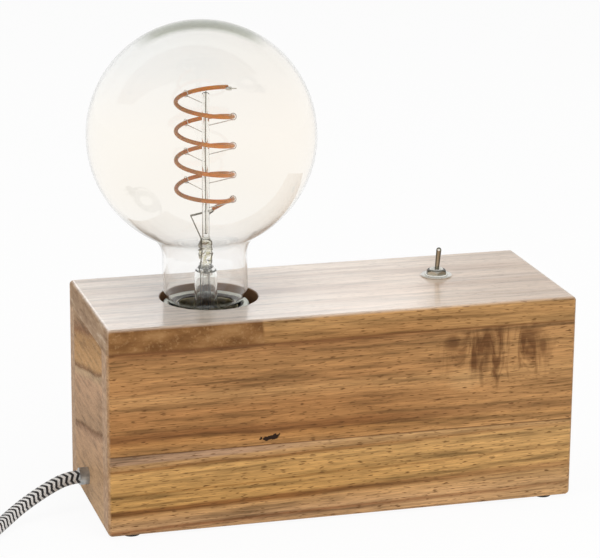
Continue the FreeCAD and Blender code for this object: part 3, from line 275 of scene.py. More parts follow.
def make_lights():
    """Soft boxes that light the wood. The one behind shows in the top board alone."""
    front = area_light("front_box", (0.95, -1.75, 1.05), (0, 0, 0.06), (1.2, 1.0), 21)
    top = area_light("top_box", (0.1, 0.1, 1.7), (0, 0, 0.06), (1.6, 1.2), 13)
    side = area_light("side_box", (-1.7, -0.55, 0.5), (0, 0, 0.05), (0.9, 0.8), 13)
    for light in (front, top, side):
        light.visible_glossy = False
        light.visible_transmission = False
    # stands so that the lacquered top mirrors its lower edge along the front, left of the switch
    low_z, right_x, behind, width, height = 0.563, 0.556, 1.5, 1.0, 0.26
    middle_x, middle_z = right_x - width / 2, low_z + height / 2
    glare = area_light("glare_box", (middle_x, behind, middle_z), (middle_x, 0, middle_z), (width, height), 2.0)
    mirrors = bpy.data.collections.new("glare_receivers")
    mirrors.objects.link(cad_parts["top_board"])
    glare.light_linking.receiver_collection = mirrors


# ---- wood ----
def grain(tree, place, shift, rise=0.0):
    """Streaks, fibres and pores along X, rising a little. Each is a noise with its own stretch."""
    x, y, z = tree.axes(place)
    sloped = tree.vector(x, y, tree.minus(z, tree.times(x, rise)))
    broad = tree.noise(sloped, (7, 70, 70), shift, detail=2.0)
    streak = tree.noise(sloped, (14, 330, 330), shift, detail=4.0, roughness=0.6)
    fibre = tree.noise(sloped, (95, 1900, 1900), shift, detail=2.0)
    dashes = tree.noise(sloped, (240, 1700, 1700), shift, detail=1.0)
    return broad, streak, fibre, tree.span(dashes, 0.60, 0.70)


def spot(tree, place, centre, radii, softness):
    """1 inside an ellipse on the front, (x, z) in millimetres, 0 outside. softness is the share that fades."""
    x, _, z = tree.axes(place)
    squares = [tree.math("POWER", tree.math("ABSOLUTE", tree.math(
        "DIVIDE", tree.minus(value, middle * MM), radius * MM)), 2.0)
        for value, middle, radius in zip((x, z), centre, radii)]
    return tree.span(tree.plus(*squares), 1.0, 1.0 - softness)


def wobbled(tree, place, amount, stretch):
    """The place, moved about a little by noise, for edges that aren't straight."""
    x, y, z = tree.axes(place)
    wave = tree.wave(place, stretch, amount)
    return tree.vector(tree.plus(x, wave), y, tree.plus(z, wave))


WOOD_TONE = (0.98, 0.875, 0.725)
PORE_BROWN = (0.115, 0.055, 0.022)


def end_grained(tree, colour):
    """A plank's two ends show pinkish end grain."""
    place = tree.place()
    ends = tree.span(tree.math("ABSOLUTE", tree.axes(place)[0]), END_X - 1.2 * MM, END_X - 0.3 * MM)
    cells = tree.noise(place, (300, 420, 420), detail=5.0, roughness=0.7)
    cut = tree.ramp(cells, [(0.32, (0.24, 0.145, 0.085)), (0.50, (0.40, 0.27, 0.175)),
                            (0.70, (0.58, 0.43, 0.31))])
    return tree.mix(ends, colour, cut)


def lacquered(tree, colour, grain_height, roughness=0.48, gloss=0.12):
    return tree.principled(Base_Color=tree.tinted(colour, WOOD_TONE), Roughness=roughness,
                           Normal=tree.bump(grain_height, 0.06 * MM, 0.5), Specular_IOR_Level=gloss)


def textured(tree, colour, layers, contrast=1.0):
    """Streaks, fibres and pores over a plank's own colour. Also the height for its bump."""
    _, streak, fibre, pore = layers
    streaks = [(0.0, 1 - 0.46 * contrast), (0.5, 1.0), (1.0, 1 + 0.16 * contrast)]
    colour = tree.tinted(colour, tree.ramp(tree.span(streak, 0.30, 0.70), streaks))
    threads = [(0.0, 1 - 0.24 * contrast), (1.0, 1.10)]
    colour = tree.tinted(colour, tree.ramp(tree.span(fibre, 0.3, 0.7), threads))
    colour = tree.over(colour, PORE_BROWN, pore, 0.62 * contrast)
    return colour, tree.minus(tree.times(fibre, 0.5), tree.times(pore, 0.8))


def lower_front_wood():
    """Golden wood with long dark streaks that rise a little, under a grey-lilac band of sapwood."""
    tree = Tree("golden_wood_with_dark_streaks")
    place = tree.place()
    rise = 0.024
    layers = grain(tree, place, (3.0, 1.0, 7.0), rise)
    x, y, z = tree.axes(place)
    wander = tree.wave(place, (22, 5, 60), 3.2 * MM, detail=2.0)
    level = tree.plus(tree.minus(z, tree.times(x, rise)), wander)
    band = tree.span(level, 0.0, 36.0 * MM)
    gold, tan, dark, red = (0.56, 0.345, 0.135), (0.55, 0.36, 0.21), (0.26, 0.125, 0.045), (0.30, 0.15, 0.075)
    stops = [(0.00, tan), (0.10, tan), (0.145, red), (0.175, tan), (0.31, (0.53, 0.33, 0.16)), (0.35, dark),
             (0.385, dark), (0.42, gold), (0.56, gold), (0.585, (0.36, 0.20, 0.07)), (0.60, gold),
             (0.83, (0.60, 0.38, 0.16)), (0.875, (0.33, 0.17, 0.065)), (0.90, (0.50, 0.31, 0.15)),
             (1.00, (0.55, 0.37, 0.20))]
    colour = tree.ramp(band, stops)
    lighter = tree.span(x, -20 * MM, 90 * MM)
    colour = tree.over(colour, (0.74, 0.51, 0.27), lighter, 0.30)
    sap = tree.times(tree.span(tree.plus(z, tree.times(x, -0.02)), 33.2 * MM, 34.1 * MM),
                     tree.span(x, 5 * MM, -45 * MM))
    colour = tree.mix(sap, colour, (0.42, 0.285, 0.20))
    colour = tree.mix(tree.span(z, 35.1 * MM, 35.7 * MM), colour, (0.17, 0.085, 0.04))
    colour, height = textured(tree, colour, layers, 1.45)
    colour = end_grained(tree, colour)
    return lacquered(tree, colour, height)


def upper_front_wood():
    """Brown wood: dashes, a darker band low down, a curly figure at the right and two knot pits."""
    tree = Tree("brown_wood_with_curly_figure")
    place = tree.place()
    x, y, z = tree.axes(place)
    curl = spot(tree, place, (66, 66), (30, 17), 0.7)
    layers = grain(tree, place, (1.0, 4.0, 2.0), 0.01)
    level = tree.plus(z, tree.wave(place, (20, 5, 50), 5.0 * MM))
    band = tree.span(level, 35.0 * MM, 80.0 * MM)
    brown = (0.46, 0.255, 0.115)
    stops = [(0.00, (0.47, 0.27, 0.12)), (0.11, (0.46, 0.25, 0.10)), (0.155, (0.26, 0.125, 0.05)),
             (0.20, (0.28, 0.135, 0.055)), (0.25, (0.42, 0.225, 0.095)), (0.40, (0.43, 0.23, 0.10)),
             (0.54, (0.52, 0.31, 0.145)), (0.62, brown), (0.80, (0.43, 0.245, 0.11)),
             (0.93, (0.40, 0.22, 0.10)), (0.975, (0.24, 0.115, 0.05)), (1.0, (0.20, 0.095, 0.042))]
    colour = tree.ramp(band, stops)
    # the right end: lighter ground, and the figure's dark flames that hang from the upper edge
    colour = tree.over(colour, (0.56, 0.35, 0.17), tree.span(x, 10 * MM, 70 * MM), 0.45)
    flame_noise = tree.noise(place, (150, 60, 38), (0.3, 0.0, 2.0), detail=4.0, roughness=0.6,
                             warp=0.8)
    hang = tree.span(z, 50 * MM, 76 * MM)
    flames = tree.span(tree.plus(flame_noise, tree.times(hang, 0.16)), 0.56, 0.74)
    flames = tree.times(flames, curl)
    moved = wobbled(tree, place, 6 * MM, (120, 120, 90))
    for centre, radii in (((60.5, 70), (3.2, 13)), ((58.5, 60), (1.6, 9)), ((46, 73), (4.5, 5)),
                          ((80, 75.5), (7, 2.6)), ((86, 69), (3.0, 6))):
        mark = spot(tree, moved, centre, radii, 0.9)
        flames = tree.larger(flames, tree.times(mark, 0.85))
    colour = tree.over(colour, (0.15, 0.068, 0.028), flames, 0.92)
    pale = spot(tree, moved, (52, 57), (9, 6), 1.0)
    colour = tree.over(colour, (0.66, 0.43, 0.22), pale, 0.6)
    colour, height = textured(tree, colour, layers, 1.4)
    pits = wobbled(tree, place, 3.0 * MM, (500, 500, 700))
    for centre, radii in (((-32.4, 38.5), (3.7, 1.15)), ((-30.6, 39.4), (2.2, 0.9)),
                          ((-36.4, 38.8), (0.7, 0.6))):
        pit = spot(tree, pits, centre, radii, 0.4)
        colour = tree.mix(pit, colour, (0.02, 0.010, 0.006))
    colour = end_grained(tree, colour)
    return lacquered(tree, colour, height)


def top_wood():
    """Pale wood of several staves. Its front edge shows a dark mottled stave and a golden one."""
    tree = Tree("pale_top_wood")
    place = tree.place()
    x, y, z = tree.axes(place)
    layers = grain(tree, place, (6.0, 2.0, 5.0))
    broad = layers[0]
    ground = tree.ramp(tree.span(broad, 0.33, 0.67), [
        (0.0, (0.44, 0.315, 0.235)), (0.35, (0.62, 0.485, 0.38)), (0.7, (0.72, 0.60, 0.49)),
        (1.0, (0.54, 0.41, 0.32))])
    right = tree.span(tree.plus(x, tree.times(y, -0.8)), -10 * MM, 100 * MM)
    ground = tree.over(ground, (0.46, 0.30, 0.185), right, 0.55)
    top, height = textured(tree, ground, layers, 0.6)
    dark = tree.ramp(tree.noise(place, (60, 60, 160), detail=4.0, roughness=0.65), [
        (0.30, (0.13, 0.062, 0.026)), (0.50, (0.24, 0.128, 0.056)), (0.70, (0.36, 0.215, 0.105))])
    speckle = tree.span(tree.noise(place, (900, 900, 900), detail=1.0), 0.55, 0.72)
    dark = tree.over(dark, (0.44, 0.29, 0.16), speckle, 0.35)
    golden = tree.mix(tree.span(broad, 0.35, 0.65), (0.40, 0.225, 0.10), (0.54, 0.345, 0.165))
    golden, _ = textured(tree, golden, layers, 1.25)
    joint = tree.span(tree.plus(x, tree.times(z, 0.10)), -27.6 * MM, -26.6 * MM)
    edge = tree.mix(joint, dark, golden)
    seam = tree.span(z, 80.0 * MM, 79.0 * MM)
    edge = tree.over(edge, (0.16, 0.075, 0.035), seam, 0.85)
    edge = tree.tinted(edge, WOOD_TONE)
    front = tree.span(y, -38.3 * MM, -39.2 * MM)
    colour = tree.mix(front, top, edge)
    ends = tree.span(tree.math("ABSOLUTE", x), END_X - 1.1 * MM, END_X - 0.2 * MM)
    end_grain = tree.ramp(tree.noise(place, (90, 60, 260), detail=5.0, roughness=0.7), [
        (0.32, (0.20, 0.115, 0.060)), (0.55, (0.36, 0.235, 0.14)), (0.72, (0.58, 0.46, 0.34))])
    colour = tree.mix(ends, colour, end_grain)
    across = tree.math("POWER", tree.minus(x, HOLE_X), 2.0)
    from_hole = tree.math("SQRT", tree.plus(across, tree.math("POWER", y, 2.0)))
    bore = tree.span(from_hole, HOLE_RADIUS + 0.5 * MM, HOLE_RADIUS + 0.2 * MM)
    colour = tree.mix(bore, colour, (0.34, 0.185, 0.095))
    face = tree.span(z, TOP_Z - 0.35 * MM, TOP_Z - 0.05 * MM)    # only the upper face is glossy
    return tree.principled(Base_Color=colour, Normal=tree.bump(height, 0.05 * MM, 0.4),
                           Roughness=tree.minus(0.55, tree.times(face, 0.21)),
                           Specular_IOR_Level=tree.plus(0.05, tree.times(face, 0.45)),
                           Coat_Weight=tree.times(face, 0.6), Coat_Roughness=0.12)


def end_wood():
    """End board of staves glued on a slant, pinkish brown with a few lighter and darker ones."""
    tree = Tree("slanted_end_wood")
    place = tree.place()
    x, y, z = tree.axes(place)
    slant = tree.times(y, 0.22)
    level = tree.plus(tree.plus(z, slant), tree.wave(place, (40, 40, 60), 4.0 * MM))
    pink, gold = (0.50, 0.345, 0.25), (0.50, 0.32, 0.165)
    colour = tree.ramp(tree.span(level, 0.0, 90 * MM), [
        (0.00, (0.52, 0.385, 0.27)), (0.20, (0.46, 0.32, 0.215)), (0.36, pink), (0.395, (0.20, 0.115, 0.07)),
        (0.41, (0.40, 0.28, 0.195)), (0.62, pink), (0.66, (0.50, 0.385, 0.27)), (0.675, (0.22, 0.12, 0.06)),
        (0.70, gold), (0.83, (0.38, 0.235, 0.115)), (0.86, (0.22, 0.115, 0.06)), (1.0, (0.50, 0.40, 0.30))])
    streak = tree.noise(place, (60, 60, 420), detail=5.0, roughness=0.65)
    colour = tree.tinted(colour, tree.ramp(tree.span(streak, 0.3, 0.7), [(0.0, 0.55), (0.5, 1.0), (1.0, 1.2)]))
    speck = tree.noise(place, (1500, 1500, 1500), detail=1.0)
    colour = tree.over(colour, (0.64, 0.53, 0.42), tree.span(speck, 0.55, 0.75), 0.45)
    colour = tree.over(colour, (0.20, 0.12, 0.075), tree.span(speck, 0.42, 0.30), 0.4)
    return lacquered(tree, colour, speck, roughness=0.6, gloss=0.04)


def back_wood():
    tree = Tree("plain_brown_wood")
    place = tree.place()
    layers = grain(tree, place, (9.0, 3.0, 1.0), -0.02)
    ground = tree.ramp(tree.span(layers[0], 0.3, 0.7), [(0.0, (0.33, 0.18, 0.08)), (0.4, (0.45, 0.26, 0.115)),
                                                        (0.75, (0.54, 0.34, 0.16)), (1.0, (0.47, 0.30, 0.17))])
    colour, height = textured(tree, ground, layers)
    colour = end_grained(tree, colour)
    return lacquered(tree, colour, height)


def plywood():
    tree = Tree("plywood")
    place = tree.place()
    layers = grain(tree, place, (2.0, 8.0, 4.0))
    ground = tree.mix(tree.span(layers[0], 0.3, 0.7), (0.60, 0.46, 0.29), (0.74, 0.60, 0.42))
    colour, height = textured(tree, ground, layers, 0.6)
    return lacquered(tree, colour, height, roughness=0.6)


# ---- cord ----
CORD_DIAMETER = 5.6 * MM
LEAD_POINTS = [
    (-100.5, 2.6, 13.4),
    (-109.0, 2.6, 13.4),
    (-119.5, -0.6, 9.9),
    (-131.0, -7.5, 6.0),
    (-140.5, -18.0, 3.6),
    (-149.2, -30.1, 2.8),
    (-158.04, -41.92, 2.8),
]
TAIL_STEPS = [
    (11.5, 0.0, 0.0),
    (12.0, 18.0, 2.2),
    (12.0, 22.0, 3.6),
    (12.0, 22.0, 2.9),
    (11.0, 20.0, 1.1),
    (9.0, 16.0, 0.0),
]
COIL_INNER = 26.4
COIL_TURNS = 3.3375
COIL_PITCH = 6.05
COIL_OUTER = COIL_INNER + COIL_TURNS * COIL_PITCH
COIL_ALL_TURNS = 2 * COIL_TURNS + 0.5
POINTS_PER_TURN = 24
COIL_DRAW_IN = 1.0 / math.cos(math.pi / POINTS_PER_TURN)    # control points stand this far outside


def coil_points():
    """The coil's control points in millimetres, clockwise: in, up a layer, and out again."""
    before, end = (Vector(p) for p in LEAD_POINTS[-2:])
    heading = (end - before).normalized()
    meet = end + heading * CORD_DIAMETER / MM
    drift = math.atan(COIL_PITCH / (2 * math.pi * COIL_OUTER))
    first = math.atan2(heading.y, heading.x) + math.pi / 2 + drift
    centre = meet - Vector((math.cos(first), math.sin(first), 0)) * COIL_OUTER
    points = []
    count = round(COIL_ALL_TURNS * POINTS_PER_TURN)
    for i in range(count + 1):
        turns = COIL_ALL_TURNS * i / count
        angle = first - 2 * math.pi * turns
        climb = min(max((turns - COIL_TURNS) / 0.5, 0.0), 1.0)
        inward = min(turns, COIL_TURNS + 0.25)
        outward = max(turns - COIL_TURNS - 0.25, 0.0)
        radius = (COIL_OUTER - COIL_PITCH * (inward - outward)) * COIL_DRAW_IN
        lift = COIL_PITCH * climb ** 2 * (3 - 2 * climb)
        points.append(Vector((centre.x + radius * math.cos(angle), centre.y + radius * math.sin(angle),
                              CORD_DIAMETER / MM / 2 + lift)))
    return points


def tail_points(coil):
    heading = (coil[-1] - coil[-2]).normalized()
    yaw = math.atan2(heading.y, heading.x) - math.pi / POINTS_PER_TURN
    points = [coil[-1] + heading * CORD_DIAMETER / MM]
    for run, turn, rise in TAIL_STEPS:
        yaw -= math.radians(turn)
        points.append(points[-1] + Vector((run * math.cos(yaw), run * math.sin(yaw), rise)))
    return points


def cord_route():
    coil = coil_points()
    return [Vector(p) for p in LEAD_POINTS[:-1]] + coil + tail_points(coil)


def spline_points(route, resolution):
    """Points on the route's smooth line, in metres."""
    curve = bpy.data.curves.new("cord_line", "CURVE")
    curve.dimensions = "3D"
    curve.resolution_u = resolution
    spline = curve.splines.new("NURBS")
    spline.points.add(len(route) - 1)
    for point, place in zip(spline.points, route):
        point.co = (*(place * MM), 1.0)
    spline.order_u = 3
    spline.use_endpoint_u = True
    holder = bpy.data.objects.new("cord_line", curve)
    mesh = bpy.data.meshes.new_from_object(holder)
    points = np.array([v.co for v in mesh.vertices])
    bpy.data.objects.remove(holder)
    bpy.data.curves.remove(curve)
    bpy.data.meshes.remove(mesh)
    return points


def even_points(points, spacing):
    """The same line with points an even distance apart."""
    steps = np.linalg.norm(np.diff(points, axis=0), axis=1)
    along = np.concatenate([[0.0], np.cumsum(steps)])
    count = int(round(along[-1] / spacing))
    wanted = np.linspace(0.0, along[-1], count + 1)
    return np.stack([np.interp(wanted, along, points[:, k]) for k in range(3)], axis=1)


def carried_frames(points):
    """A side direction at each point that turns no more than the line does."""
    ahead = np.gradient(points, axis=0)
    ahead /= np.linalg.norm(ahead, axis=1)[:, None]
    upright = abs(ahead[0][2]) > 0.99
    side = np.cross(ahead[0], (0.0, 1.0, 0.0) if upright else (0.0, 0.0, 1.0))
    side /= np.linalg.norm(side)
    sides = []
    for direction in ahead:
        side = side - direction * side.dot(direction)
        side /= np.linalg.norm(side)
        sides.append(side)
    return ahead, np.array(sides)


def mesh_object(name, vertices, faces, smooth=True):
    mesh = bpy.data.meshes.new(name)
    mesh.from_pydata([tuple(v) for v in vertices], [], faces)
    mesh.validate()
    if smooth:
        mesh.shade_smooth()
    thing = bpy.data.objects.new(name, mesh)
    bpy.context.scene.collection.objects.link(thing)
    return thing


def tube(name, points, radius, sides=16, relief=None, uv=False):
    """A closed round tube along points. relief(along, around) gives what is added to the radius."""
    ahead, side = carried_frames(points)
    other = np.cross(ahead, side)
    angles = np.arange(sides) * 2 * math.pi / sides
    steps = np.linalg.norm(np.diff(points, axis=0), axis=1)
    along = np.concatenate([[0.0], np.cumsum(steps)])
    radii = np.full((len(points), sides), radius, float)
    if relief is not None:
        radii += relief(along[:, None], angles[None, :])
    ring = (np.cos(angles)[None, :, None] * side[:, None, :]
            + np.sin(angles)[None, :, None] * other[:, None, :])
    vertices = (points[:, None, :] + ring * radii[:, :, None]).reshape(-1, 3)
    faces = []
    for i in range(len(points) - 1):
        for j in range(sides):
            k = (j + 1) % sides
            faces.append((i * sides + j, i * sides + k, (i + 1) * sides + k, (i + 1) * sides + j))
    faces.append(tuple(range(sides))[::-1])
    faces.append(tuple(range((len(points) - 1) * sides, len(points) * sides)))
    thing = mesh_object(name, vertices, faces)
    if uv:
        layer = thing.data.uv_layers.new(name="along_around")
        values = []
        for i in range(len(points) - 1):
            for j in range(sides):
                a, b = along[i], along[i + 1]
                c, d = j / sides, (j + 1) / sides
                values += [a, c, a, d, b, d, b, c]
        values += [0.0] * (2 * len(layer.data) - len(values))
        layer.data.foreach_set("uv", values)
    return thing


BRAID_PERIOD = 2.56 * MM       # along the cord, from one dark stripe to the next
BRAID_ZIGZAGS = 4              # round the cord
BRAID_SWING = 0.62 * MM        # how far a stripe swings along the cord
BRAID_RELIEF = 0.05 * MM


def braid_material():
    tree = Tree("zigzag_braid")
    uv = tree.add("UVMap", settings={"uv_map": "along_around"})
    along, around, _ = tree.axes(uv)
    wave = tree.math("PINGPONG", tree.times(around, 2 * BRAID_ZIGZAGS), 1.0)
    swing = tree.times(tree.minus(wave, 0.5), 2 * BRAID_SWING / BRAID_PERIOD)
    phase = tree.plus(tree.math("DIVIDE", along, BRAID_PERIOD), swing)
    stripe = tree.math("PINGPONG", phase, 0.5)
    frayed = tree.noise(tree.place(), (2600, 2600, 2600), detail=1.0)
    edge = tree.plus(stripe, tree.times(tree.minus(frayed, 0.5), 0.10))
    light = tree.span(edge, 0.225, 0.275)
    # single yarns, each lying across its stripe, with painted shade darkening the colour in the creases between
    # yarns
    yarns = tree.math("PINGPONG", tree.plus(tree.times(around, 28.0), phase), 0.5)
    shade = tree.span(yarns, 0.0, 0.35)
    white = tree.mix(shade, (0.50, 0.50, 0.49), (0.86, 0.86, 0.85))
    black = tree.mix(shade, (0.006, 0.006, 0.007), (0.022, 0.022, 0.024))
    colour = tree.mix(light, black, white)
    groove = tree.span(tree.math("PINGPONG", tree.times(phase, 2.0), 0.5), 0.0, 0.3)
    height = tree.plus(tree.times(shade, 0.5), tree.times(groove, 0.5))
    normal = tree.bump(height, 0.12 * MM, 0.8)
    return tree.principled(Base_Color=colour, Roughness=0.78, Normal=normal, Sheen_Weight=0.25,
                           Sheen_Roughness=0.5)


def braid_relief(along, around):
    """Raised stripes, in step with the material's zigzag."""
    turn = around / (2 * math.pi) * 2 * BRAID_ZIGZAGS
    wave = 1 - np.abs(np.mod(turn, 2.0) - 1)
    phase = along / BRAID_PERIOD + (wave - 0.5) * 2 * BRAID_SWING / BRAID_PERIOD
    return BRAID_RELIEF * (np.abs(np.sin(2 * math.pi * phase)) - 0.7)


def make_cord():
    line = even_points(spline_points(cord_route(), 8), BRAID_PERIOD / 8)
    cord = tube("cord", line, CORD_DIAMETER / 2, sides=32, relief=braid_relief, uv=True)
    cord.data.materials.append(braid_material())
    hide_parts("cord_lead", "cord_coil", "cord_tail")
    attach(cord, "housing")


# ---- meshes ----
def arc(centre, radius, start, end, count):
    """Points on a circle, angles in radians."""
    return [(centre[0] + radius * math.cos(start + (end - start) * i / count),
             centre[1] + radius * math.sin(start + (end - start) * i / count)) for i in range(count + 1)]


def revolve(name, outline, x, y=0.0, sides=128, closed=True, shape=None):
    """A surface of revolution about a vertical axis. shape(angle, r, z) may change a point's r and z."""
    vertices, faces = [], []
    for j in range(sides):
        angle = 2 * math.pi * j / sides
        for r, z in outline:
            if shape:
                r, z = shape(angle, r, z)
            vertices.append((x + r * math.cos(angle), y + r * math.sin(angle), z))
    count = len(outline)
    last = count if closed else count - 1
    for j in range(sides):
        for i in range(last):
            a, b = j * count + i, j * count + (i + 1) % count
            c, d = (j + 1) % sides * count + (i + 1) % count, (j + 1) % sides * count + i
            faces.append((a, b, c, d))
    thing = mesh_object(name, vertices, faces)
    mesh = bmesh.new()
    mesh.from_mesh(thing.data)
    bmesh.ops.remove_doubles(mesh, verts=mesh.verts, dist=1e-7)
    bmesh.ops.dissolve_degenerate(mesh, edges=mesh.edges, dist=1e-7)
    bmesh.ops.recalc_face_normals(mesh, faces=mesh.faces)
    mesh.to_mesh(thing.data)
    mesh.free()
    thing.data.set_sharp_from_angle(angle=math.radians(35))
    return thing


def put_on(thing, body, material, slot, *replaced):
    thing.data.materials.clear()
    thing.data.materials.append(material)
    if replaced:
        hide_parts(*replaced)
    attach(thing, body)
    return thing


def leaned(points, degrees, pivot):
    """Points turned about the pivot, so that their top moves to -X."""
    turn = Matrix.Rotation(-math.radians(degrees), 3, "Y")
    return [pivot + turn @ (Vector(p) - pivot) for p in points]


# ---- plain materials ----
def metal(name, colour, roughness, wear=0.0, scale=400):
    tree = Tree(name)
    cloud = tree.noise(tree.place(), (scale, scale, scale), detail=3.0)
    shade = tree.mix(tree.span(cloud, 0.35, 0.65), tuple(c * (1 - wear) for c in colour), colour)
    return tree.principled(Base_Color=shade, Metallic=1.0, Roughness=roughness)


def plain(name, colour, roughness, bump=0.0, scale=2500):
    tree = Tree(name)
    if not bump:
        return tree.principled(Base_Color=colour, Roughness=roughness)
    grainy = tree.noise(tree.place(), (scale, scale, scale), detail=2.0)
    return tree.principled(Base_Color=colour, Roughness=roughness, Normal=tree.bump(grainy, bump, 0.6))


GLASS_IOR = 1.46


def clear_glass(name, colour):
    return Tree(name).principled(Base_Color=colour, Roughness=0.0, IOR=GLASS_IOR, Transmission_Weight=1.0)


# ---- bulb ----
GLOBE_RADIUS = 47.5 * MM
GLOBE_Z = TOP_Z + 68.9 * MM
GLASS_WALL = 0.7 * MM
NECK_RADIUS = 17.7 * MM
NECK_BLEND = 10.0 * MM
NECK_FOOT = 8.0 * MM
NECK_FOOT_Z = TOP_Z + 4.4 * MM
GLASS_COLLAR = 12.2 * MM
GLASS_END_Z = CAP_RIM_Z - 5.7 * MM
GLASS_LEAN = 1.3
PIVOT = Vector((BULB_X, 0, CAP_RIM_Z))


def glass_outline(wall):
    """Half outline of the bulb's glass from the crown down, this far inside its outer surface."""
    globe = GLOBE_RADIUS - wall
    neck = NECK_RADIUS - wall
    blend_r = NECK_RADIUS + NECK_BLEND
    reach = GLOBE_RADIUS + NECK_BLEND
    blend_z = GLOBE_Z - math.sqrt(reach ** 2 - blend_r ** 2)
    down = math.asin((blend_z - GLOBE_Z) / reach)
    points = arc((0, GLOBE_Z), globe, math.pi / 2, down, 72)
    points += arc((blend_r, blend_z), NECK_BLEND + wall, math.pi + down, math.pi, 14)[1:]
    foot = NECK_FOOT - wall
    foot_r = NECK_RADIUS - NECK_FOOT
    collar = GLASS_COLLAR - wall
    points += [(neck, NECK_FOOT_Z + 2 * MM)]
    points += arc((foot_r, NECK_FOOT_Z), foot, 0, -math.acos((collar - foot_r) / foot), 16)
    points.append((collar, GLASS_END_Z))
    return points


def globe_glass():
    """Clear glass with a faint amber coating. Dark colour is painted where the wall is seen edge on: at the crown,
    on the upper globe and at the low shoulders beside the neck. These are painted dark reflections, and there the
    glass also lets less light through.
    """
    tree = Tree("bulb_glass_faint_amber")
    x, _, z = tree.axes(tree.place())
    high = tree.span(z, TOP_Z + 20 * MM, TOP_Z + 100 * MM)
    colour = tree.ramp(high, [
        (0.0, (1.0, 0.995, 0.985)), (0.25, (1.0, 0.978, 0.938)), (0.70, (1.0, 0.980, 0.945)),
        (0.95, (0.99, 0.988, 0.975)), (1.0, (0.975, 0.98, 0.97))])
    amber = tree.times(tree.span(x, BULB_X - 30 * MM, BULB_X + 35 * MM), high)
    colour = tree.over(colour, (1.0, 0.955, 0.895), amber, 0.5)
    edge_on = tree.edge_on()
    # painted dark reflection along the crown, where it is seen edge on
    crown = tree.times(tree.span(z, GLOBE_Z + 38 * MM, GLOBE_Z + 43 * MM), tree.span(edge_on, 0.54, 0.64))
    colour = tree.mix(crown, colour, (0.34, 0.36, 0.29))
    # painted dark reflection where the upper globe is seen edge on
    upper = tree.times(tree.span(z, GLOBE_Z + 5 * MM, GLOBE_Z + 35 * MM), tree.span(edge_on, 0.80, 0.96))
    colour = tree.over(colour, (0.40, 0.42, 0.34), upper, 0.7)
    # painted dark reflection on the low shoulders, left and right of the bulb's middle, where seen edge on
    low = tree.times(tree.span(z, TOP_Z + 38 * MM, TOP_Z + 28 * MM),
                     tree.span(z, TOP_Z + 16 * MM, TOP_Z + 22 * MM))
    aside = tree.span(tree.math("ABSOLUTE", tree.minus(x, BULB_X)), 9 * MM, 22 * MM)
    shoulder_painted_dark = tree.times(tree.times(low, tree.span(edge_on, 0.72, 0.90)), aside)
    colour = tree.mix(shoulder_painted_dark, colour, (0.12, 0.095, 0.04))
    # less light passes through where the painted dark reflections lie
    painted_dark_dulling = tree.larger(tree.times(crown, 0.45), tree.larger(tree.times(upper, 0.55), tree.times(shoulder_painted_dark, 0.8)))
    return tree.principled(Base_Color=colour, Roughness=0.0, IOR=GLASS_IOR,
                           Transmission_Weight=tree.minus(1.0, painted_dark_dulling))


def make_globe():
    outline = glass_outline(0.0) + glass_outline(GLASS_WALL)[::-1]
    outline[0] = (0.0, outline[0][1])
    outline[-1] = (0.0, outline[-1][1])
    glass = revolve("globe_glass", outline, BULB_X, sides=160)
    moved = leaned([v.co for v in glass.data.vertices], GLASS_LEAN, PIVOT)
    for vertex, place in zip(glass.data.vertices, moved):
        vertex.co = place
    put_on(glass, "bulb", globe_glass(), "bulb_glass", "bulb_glass")


FLARE_RADIUS = 4.8 * MM
FLARE_WALL = 0.8 * MM
PINCH_LOW_Z = TOP_Z + 12.8 * MM
PINCH_HIGH_Z = TOP_Z + 24.8 * MM
ROD_TOP_Z = TOP_Z + 86.6 * MM
ROD_RADIUS = 1.5 * MM


